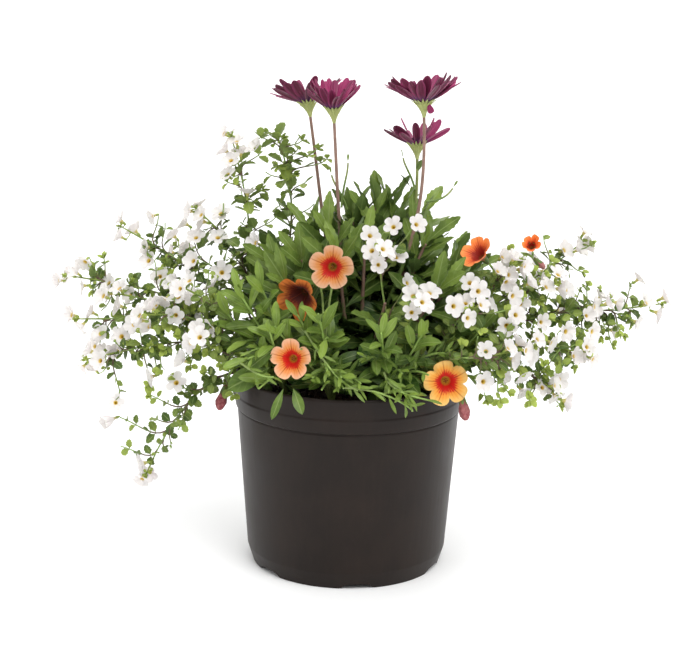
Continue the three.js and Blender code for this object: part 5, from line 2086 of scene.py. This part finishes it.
@dataclass(frozen=True)
class Studio:
    """A white studio: pale floor, soft lights from all round, and the camera's place, in metres and radians.

    Args:
        suns: Each light's name, strength, softness and turn, in degrees.
    """

    camera_at: Triple = (0.0, -1.5, 0.5659)
    pitch: float = 0.2308
    yaw: float = 0.0002
    roll: float = 0.0178
    focal_px: float = 1749.4
    frame_px: float = 700.0
    floor_half: float = 30.0
    suns: tuple[tuple[str, float, float, Triple], ...] = (
        ("key_light", 1.8, 40, (36, 0, 30)),
        ("fill_light", 0.5, 80, (60, 0, -72)),
        ("side_light", 0.3, 90, (70, 0, 54)),
        ("back_light", 0.8, 60, (-40, 0, 10)),
    )

    def build(self) -> None:
        """Set up the camera, the floor and the lights."""
        self.camera()
        self.floor()
        self.lights()

    def camera(self) -> None:
        """Stand the camera where it sees the pot as it was photographed."""
        data = bpy.data.cameras.new("camera")
        data.sensor_width = 36.0
        data.lens = self.focal_px / self.frame_px * data.sensor_width
        data.clip_end = 100
        flat = math.cos(self.pitch)
        ahead = vec((math.sin(self.yaw) * flat, math.cos(self.yaw) * flat, -math.sin(self.pitch)))
        across = vec((math.cos(self.yaw), -math.sin(self.yaw), 0))
        over = np.cross(across, ahead)
        right = across * math.cos(self.roll) + over * math.sin(self.roll)
        top = over * math.cos(self.roll) - across * math.sin(self.roll)
        place = Matrix([[*right], [*top], [*-ahead]]).transposed().to_4x4()
        place.translation = self.camera_at
        camera = bpy.data.objects.new("camera", data)
        camera.matrix_world = place
        bpy.context.scene.collection.objects.link(camera)
        bpy.context.scene.camera = camera

    def floor(self) -> None:
        """Lay a pale, matte floor."""
        half = self.floor_half
        mesh = bpy.data.meshes.new("studio_floor")
        corners = [(-half, -half, 0), (half, -half, 0), (half, half, 0), (-half, half, 0)]
        mesh.from_pydata(corners, [], [(0, 1, 2, 3)])
        material, tree = fresh("studio_floor_paper")
        paper = put(tree, "BsdfPrincipled", {"Base Color": "#f8f8f8", "Roughness": 0.9})
        put(tree, "OutputMaterial", [paper])
        mesh.materials.append(material)
        floor = bpy.data.objects.new("studio_floor", mesh)
        bpy.context.scene.collection.objects.link(floor)

    def lights(self) -> None:
        """Light the white room from all round, and more by broad suns from above left, right and behind."""
        world = bpy.data.worlds.new("white_room")
        world.use_nodes = True
        tree = world.node_tree
        # The room is brightest behind the pot and above it, and dimmest behind the camera.
        way = put(tree, "TexCoord").node.outputs["Generated"]
        lean = put(tree, "VectorMath", [way, (0, 0.34, 0.34)], operation="DOT_PRODUCT")
        bright = put(tree, "Math", [lean, 0.66], operation="ADD")
        tree.links.new(bright, tree.nodes["Background"].inputs["Strength"])
        tree.nodes["Background"].inputs["Color"].default_value = (1, 1, 1, 1)
        bpy.context.scene.world = world
        bpy.context.scene.view_settings.view_transform = "Standard"
        for name, strength, soft_deg, turn_deg in self.suns:
            data = bpy.data.lights.new(name, "SUN")
            data.energy = strength
            data.angle = math.radians(soft_deg)
            light = bpy.data.objects.new(name, data)
            light.rotation_euler = [math.radians(a) for a in turn_deg]
            bpy.context.scene.collection.objects.link(light)


# ---------------------------------------------------------------- the planting plan


ROOM = 20.0  # the radius of the room before a bloom
DEEP, SHALLOW = 34.0, 8.0  # its depth before an open bloom, and before one that leaves half hide
DEEP_CUP = 5.0  # the cupping from which leaves half hide a bloom
HOLLOW = Clearing(vec((17, -20, 251)), unit((0.02, -1, 0.25)), 24, 86)  # the dark hollow at the front


def calibrachoas(bed: Bed) -> list[Calibrachoa]:
    """Plan the five calibrachoas.

    Args:
        bed: The bed that they grow in.

    Returns:
        The plants.
    """
    plans = [
        dict(
            name="calibrachoa_front_left",
            root=(-52, -46),
            tips=((-93, -74, 258), (-84, -96, 206), (-74, -108, 184)),
            fillers=(
                (-81, -92, 212), (-104, -56, 236), (-66, -96, 230), (-88, -66, 214), (-100, -70, 196),
                (-112, -40, 206), (-76, -66, 262),
            ),
            singles=(
                ((-66, -84, 196), (-101, -94, 180), 9.5),
                ((-46, -98, 182), (-38, -116, 166), 4.6),
                ((-54, -98, 182), (-63, -114, 160), 3.6),
                ((-60, -82, 214), (-86, -96, 196), 6.0),
            ),
            runners=(((-90, -104, 205), (-80, -102, 197), (-72, -101, 191), (-62, -100, 192)),),
            blooms=(
                Bloom((-48, -88, 204), (-0.2, -0.96, 0.12), 0.87, cup=4, tone=0.75),
                Bloom((-110, -44, 153), (-0.25, -0.25, -1), tint=None),
            ),
        ),
        dict(
            name="calibrachoa_front",
            root=(-14, -60),
            tips=((-26, -98, 246), (-6, -112, 196), (-62, -86, 232), (-30, -100, 192)),
            fillers=(
                (-4, -110, 186), (10, -108, 190), (-18, -108, 200), (-40, -92, 214), (-44, -78, 240),
                (-22, -108, 184), (-20, -88, 222),
            ),
            runners=(((-37, -92, 230), (-19, -104, 203), (-7, -108, 189), (8, -109, 184)),),
            blooms=(
                # The low tone paints shade on this bloom, which sits in shade.
                Bloom((-16, -76, 280), (-0.12, -0.98, 0.04), 0.92, cup=3, tone=0.32),
                # This bloom sits in shade, so its tint is the burnt-orange one with painted shade.
                Bloom((-42, -60, 252), (-0.45, -0.8, -0.3), tint=Tint.BURNT_IN_PAINTED_SHADE, cup=5),
            ),
        ),
        dict(
            name="calibrachoa_front_right",
            root=(34, -58),
            tips=((26, -104, 232), (48, -112, 180), (108, -70, 204), (14, -98, 208)),
            fillers=(
                (53, -112, 168), (66, -100, 196), (34, -108, 190), (60, -90, 228), (92, -88, 210),
                (120, -64, 184), (44, -104, 198),
            ),
            runners=(
                ((-3, -108, 186), (16, -110, 186), (36, -109, 182), (53, -108, 168)),
                ((29, -108, 200), (32, -109, 190), (36, -109, 183), (68, -107, 176)),
            ),
            blooms=(
                Bloom((82, -86, 186), (0.08, -0.98, 0.04), 0.94, Tint.GOLDEN),
                Bloom((98, -86, 160), (0.2, -0.35, -1), tint=None),
            ),
        ),
        dict(
            name="calibrachoa_right",
            root=(66, 6),
            tips=((142, 6, 272), (118, -34, 254)),
            fillers=(
                (112, -52, 226), (134, -28, 230), (126, -56, 200), (148, 12, 232), (120, 44, 236),
                (136, -10, 196), (124, 40, 196),
            ),
            blooms=(
                Bloom((108, -38, 287), (-0.6, -0.5, 0.6), 0.78, Tint.BURNT, 6, 0.9),
                Bloom((157, 0, 288), (-0.2, -0.7, 0.6), 0.46, Tint.BURNT, 9, 0.95),
                Bloom((170, -10, 268), (0.6, -0.5, -0.5), 0.6, tint=None),
            ),
        ),
        dict(
            name="calibrachoa_back",
            root=(-10, 68),
            tips=((-62, 104, 214), (24, 118, 204), (66, 96, 232)),
            fillers=(
                (-36, 116, 188), (4, 114, 236), (48, 116, 180), (90, 80, 212), (-84, 84, 226),
                (-100, 56, 200), (104, 70, 186), (-70, 100, 182), (10, 122, 172),
            ),
            blooms=(
                Bloom((-40, 112, 246), (-0.3, 0.9, 0.25)),
                Bloom((52, 114, 206), (0.25, 0.95, 0.05), tint=Tint.GOLDEN),
            ),
        ),
    ]
    return [Calibrachoa(seed=31 + i, bed=bed, **plan) for i, plan in enumerate(plans)]


def bacopas(bed: Bed) -> list[Bacopa]:
    """Plan the six bacopas.

    Args:
        bed: The bed that they grow in.

    Returns:
        The plants.
    """
    plans = [
        (
            "bacopa_left_high",
            (-62, 18),
            (
                Spray((-103, 32, 360), (-0.25, 0, 1), 5, 32),
                Spray((-66, 42, 372), (-0.35, 0, 1), 0, 0),
                Spray((-128, 18, 304), (-0.6, -0.1, 0.6), 4, 24),
                Spray((-150, 76, 262), (-0.8, 0.5, 0.3), 4, 26),
                Spray((-88, 126, 232), (-0.5, 0.9, 0.1), 4, 24),
            ),
            (
                (-115, 16, 309), (-117, 10, 289), (-115, 6, 279), (-137, 18, 287), (-135, 24, 308),
                (-84, -4, 287), (-98, 30, 379), (-113, 30, 374), (-121, 30, 367), (-107, 24, 355),
                (-110, 22, 343), (-86, 30, 366), (-92, 26, 327),
            ),
            (
                (-75, 40, 377), (-62, 36, 373), (-44, 34, 372), (-31, 32, 365), (-22, 28, 357),
                (-50, 34, 342), (-66, 38, 348), (-79, 30, 328),
            ),
        ),
        (
            "bacopa_left",
            (-74, -8),
            (
                Spray((-234, 0, 252), (-1, 0, 0.15), 4, 30),
                Spray((-192, 22, 288), (-0.8, 0, 0.45), 3, 26),
                Spray((-200, -18, 242), (-0.9, -0.25, 0.2), 3, 22),
                Spray((-137, -60, 256), (-0.5, -0.6, 0.4), 3, 20),
            ),
            (
                (-135, -40, 256), (-192, -12, 240), (-212, -4, 249), (-168, 8, 253), (-155, -8, 250),
                (-203, 20, 298), (-176, 20, 304), (-181, 18, 277), (-197, 20, 281), (-179, 14, 266),
                (-138, -4, 270), (-112, -8, 261), (-255, 4, 251), (-246, 2, 258), (-233, 2, 265),
                (-240, 0, 246), (-136, -24, 242),
            ),
            (
                (-106, -50, 245), (-125, -30, 232), (-117, -24, 241), (-143, -16, 233), (-157, -6, 244),
                (-175, -4, 243), (-192, -6, 249), (-224, 0, 261), (-226, -2, 242), (-216, 2, 270),
                (-137, 10, 266), (-150, 12, 265), (-164, 12, 265), (-157, 4, 255), (-118, -10, 254),
                (-106, 10, 266),
            ),
        ),
        (
            "bacopa_left_low",
            (-72, -32),
            (
                Spray((-224, -20, 220), (-1, -0.1, 0), 3, 24),
                Spray((-214, -40, 192), (-0.9, -0.1, -0.2), 3, 24),
                Spray((-168, -52, 232), (-0.75, -0.55, 0.1), 3, 24),
                Spray((-124, -84, 222), (-0.4, -0.8, 0.1), 3, 12),
                Spray((-173, -34, 92), (-0.4, 0, -0.9), 3, 16, bend=2),
            ),
            (
                (-148, -32, 244), (-118, -70, 226), (-131, -68, 215), (-168, -30, 235), (-194, -14, 230),
                (-187, -30, 218), (-181, -24, 222), (-198, -28, 207), (-206, -26, 201), (-231, -12, 230),
                (-222, -26, 197), (-221, -30, 178), (-171, -44, 175), (-148, -52, 173), (-142, -60, 195),
                (-144, -30, 225), (-202, -38, 150), (-206, -36, 134), (-201, -24, 233), (-235, -14, 221),
                (-226, -20, 205), (-217, -24, 208), (-230, -22, 196), (-227, -26, 186), (-200, -34, 196),
                (-191, -38, 192), (-159, -34, 241), (-149, -44, 230), (-212, -30, 193),
            ),
            (
                (-163, -40, 216), (-138, -30, 232), (-120, -60, 202), (-97, -60, 165), (-171, -44, 159),
                (-171, -40, 202), (-158, -46, 200), (-145, -46, 213), (-154, -40, 220), (-127, -56, 203),
                (-114, -60, 208), (-136, -52, 188), (-162, -44, 181), (-181, -36, 188), (-189, -34, 201),
                (-122, -60, 185), (-107, -66, 192), (-149, -48, 176), (-172, -40, 167), (-130, -56, 220),
                (-163, -34, 232), (-180, -36, 213),
            ),
        ),
        (
            "bacopa_right_high",
            (56, -30),
            (
                Spray((24, -72, 284), (-0.1, -0.35, 0.9), 5, 30),
                Spray((54, -92, 252), (0.2, -0.5, 0.75), 4, 22),
                Spray((133, -46, 272), (0.5, -0.35, 0.6), 5, 32),
                Spray((96, -84, 246), (0.25, -0.7, 0.5), 3, 20),
                Spray((164, -34, 258), (0.75, -0.35, 0.35), 4, 26),
            ),
            (
                (86, -92, 253), (102, -90, 250), (100, -92, 242), (100, -66, 268), (107, -78, 263),
                (129, -46, 286), (124, -60, 277), (131, -66, 268), (138, -44, 279), (152, -50, 265),
                (137, -68, 257), (144, -50, 247), (118, -70, 249), (174, -30, 249), (162, -36, 260),
                (66, -80, 262), (35, -54, 312), (55, -52, 314), (16, -58, 305), (38, -66, 289),
                (63, -84, 265), (42, -96, 254), (55, -96, 242),
            ),
            (
                (108, -92, 233), (162, -40, 248), (168, -20, 266), (158, -36, 260), (178, -24, 245),
                (174, -10, 276), (154, -30, 272), (143, -60, 256), (130, -76, 247), (170, -40, 233),
                (137, -40, 281), (134, -30, 289),
            ),
        ),
        (
            "bacopa_right",
            (76, 20),
            (
                Spray((260, 0, 236), (1, 0, 0.15), 3, 26),
                Spray((198, 16, 284), (0.7, 0, 0.6), 3, 18),
                Spray((212, -14, 240), (0.85, -0.2, 0.3), 4, 28),
                Spray((160, 78, 250), (0.8, 0.6, 0.2), 4, 26),
                Spray((96, 122, 238), (0.4, 0.9, 0.2), 4, 26),
                Spray((2, 146, 238), (-0.2, 1, 0.2), 3, 24),
            ),
            (
                (212, -26, 240), (204, -34, 234), (227, -16, 235), (251, -4, 241), (252, -10, 223),
                (188, 10, 283), (188, -16, 253), (199, 20, 298),
            ),
            (
                (210, 12, 287), (219, 0, 249), (235, -20, 218), (185, 0, 222), (202, -4, 214), (220, 0, 217),
                (207, -10, 201), (231, -6, 201), (240, 0, 210), (193, 6, 243), (213, 4, 230), (220, -6, 208),
                (200, -6, 231), (248, 0, 221), (255, 4, 235), (204, 10, 263), (209, 10, 251),
            ),
        ),
        (
            "bacopa_right_low",
            (70, -24),
            (
                Spray((192, -56, 208), (0.85, -0.35, 0), 4, 26),
                Spray((134, -92, 215), (0.86, 0.3, 0.1), 6, 42, bend=1),
                Spray((172, -66, 178), (0.85, -0.3, -0.45), 3, 12),
            ),
            (
                (139, -76, 243), (131, -80, 234), (137, -80, 226), (163, -54, 232), (185, -50, 223),
                (113, -98, 217), (128, -98, 215), (150, -88, 211), (156, -78, 220), (171, -68, 217),
                (195, -62, 201), (165, -66, 178), (179, -60, 183), (146, -84, 192), (209, -40, 221),
                (112, -100, 191),
            ),
            (
                (193, -50, 212), (165, -72, 199), (181, -60, 161), (127, -90, 173), (153, -76, 169),
                (93, -96, 221), (175, -50, 211), (161, -64, 223), (180, -52, 199), (166, -66, 191),
                (153, -80, 178), (133, -90, 180), (143, -84, 199), (194, -46, 192), (125, -96, 199),
                (207, -44, 199), (115, -92, 173),
            ),
        ),
    ]
    grown = [
        Bacopa(name=name, root=root, seed=71 + i, bed=bed, sprays=sprays, strays=strays, shoots=shoots)
        for i, (name, root, sprays, strays, shoots) in enumerate(plans)
    ]
    grown[0].leafing = 1.3
    return grown


def main() -> None:
    """Build the studio, the pot and its plants, and log how many faces each piece has."""
    logging.basicConfig(level=logging.INFO, format="%(message)s")
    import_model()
    Studio().build()
    pot, bed = Pot(), Bed(Soil(), Finishes())
    pot.build(bed.finishes)
    bed.soil.build(bed.finishes, pot)
    trumpets = calibrachoas(bed)
    for plant in trumpets:
        for bloom in plant.blooms:
            if bloom.tint:
                depth = SHALLOW if bloom.cup >= DEEP_CUP else DEEP
                bed.clearings.append(Clearing(vec(bloom.at), unit(bloom.face), ROOM * bloom.size, depth))
    bed.clearings.append(HOLLOW)
    for plant in (*bacopas(bed), *trumpets, Daisy(bed=bed)):
        plant.build()


if __name__ == "__main__":
    main()
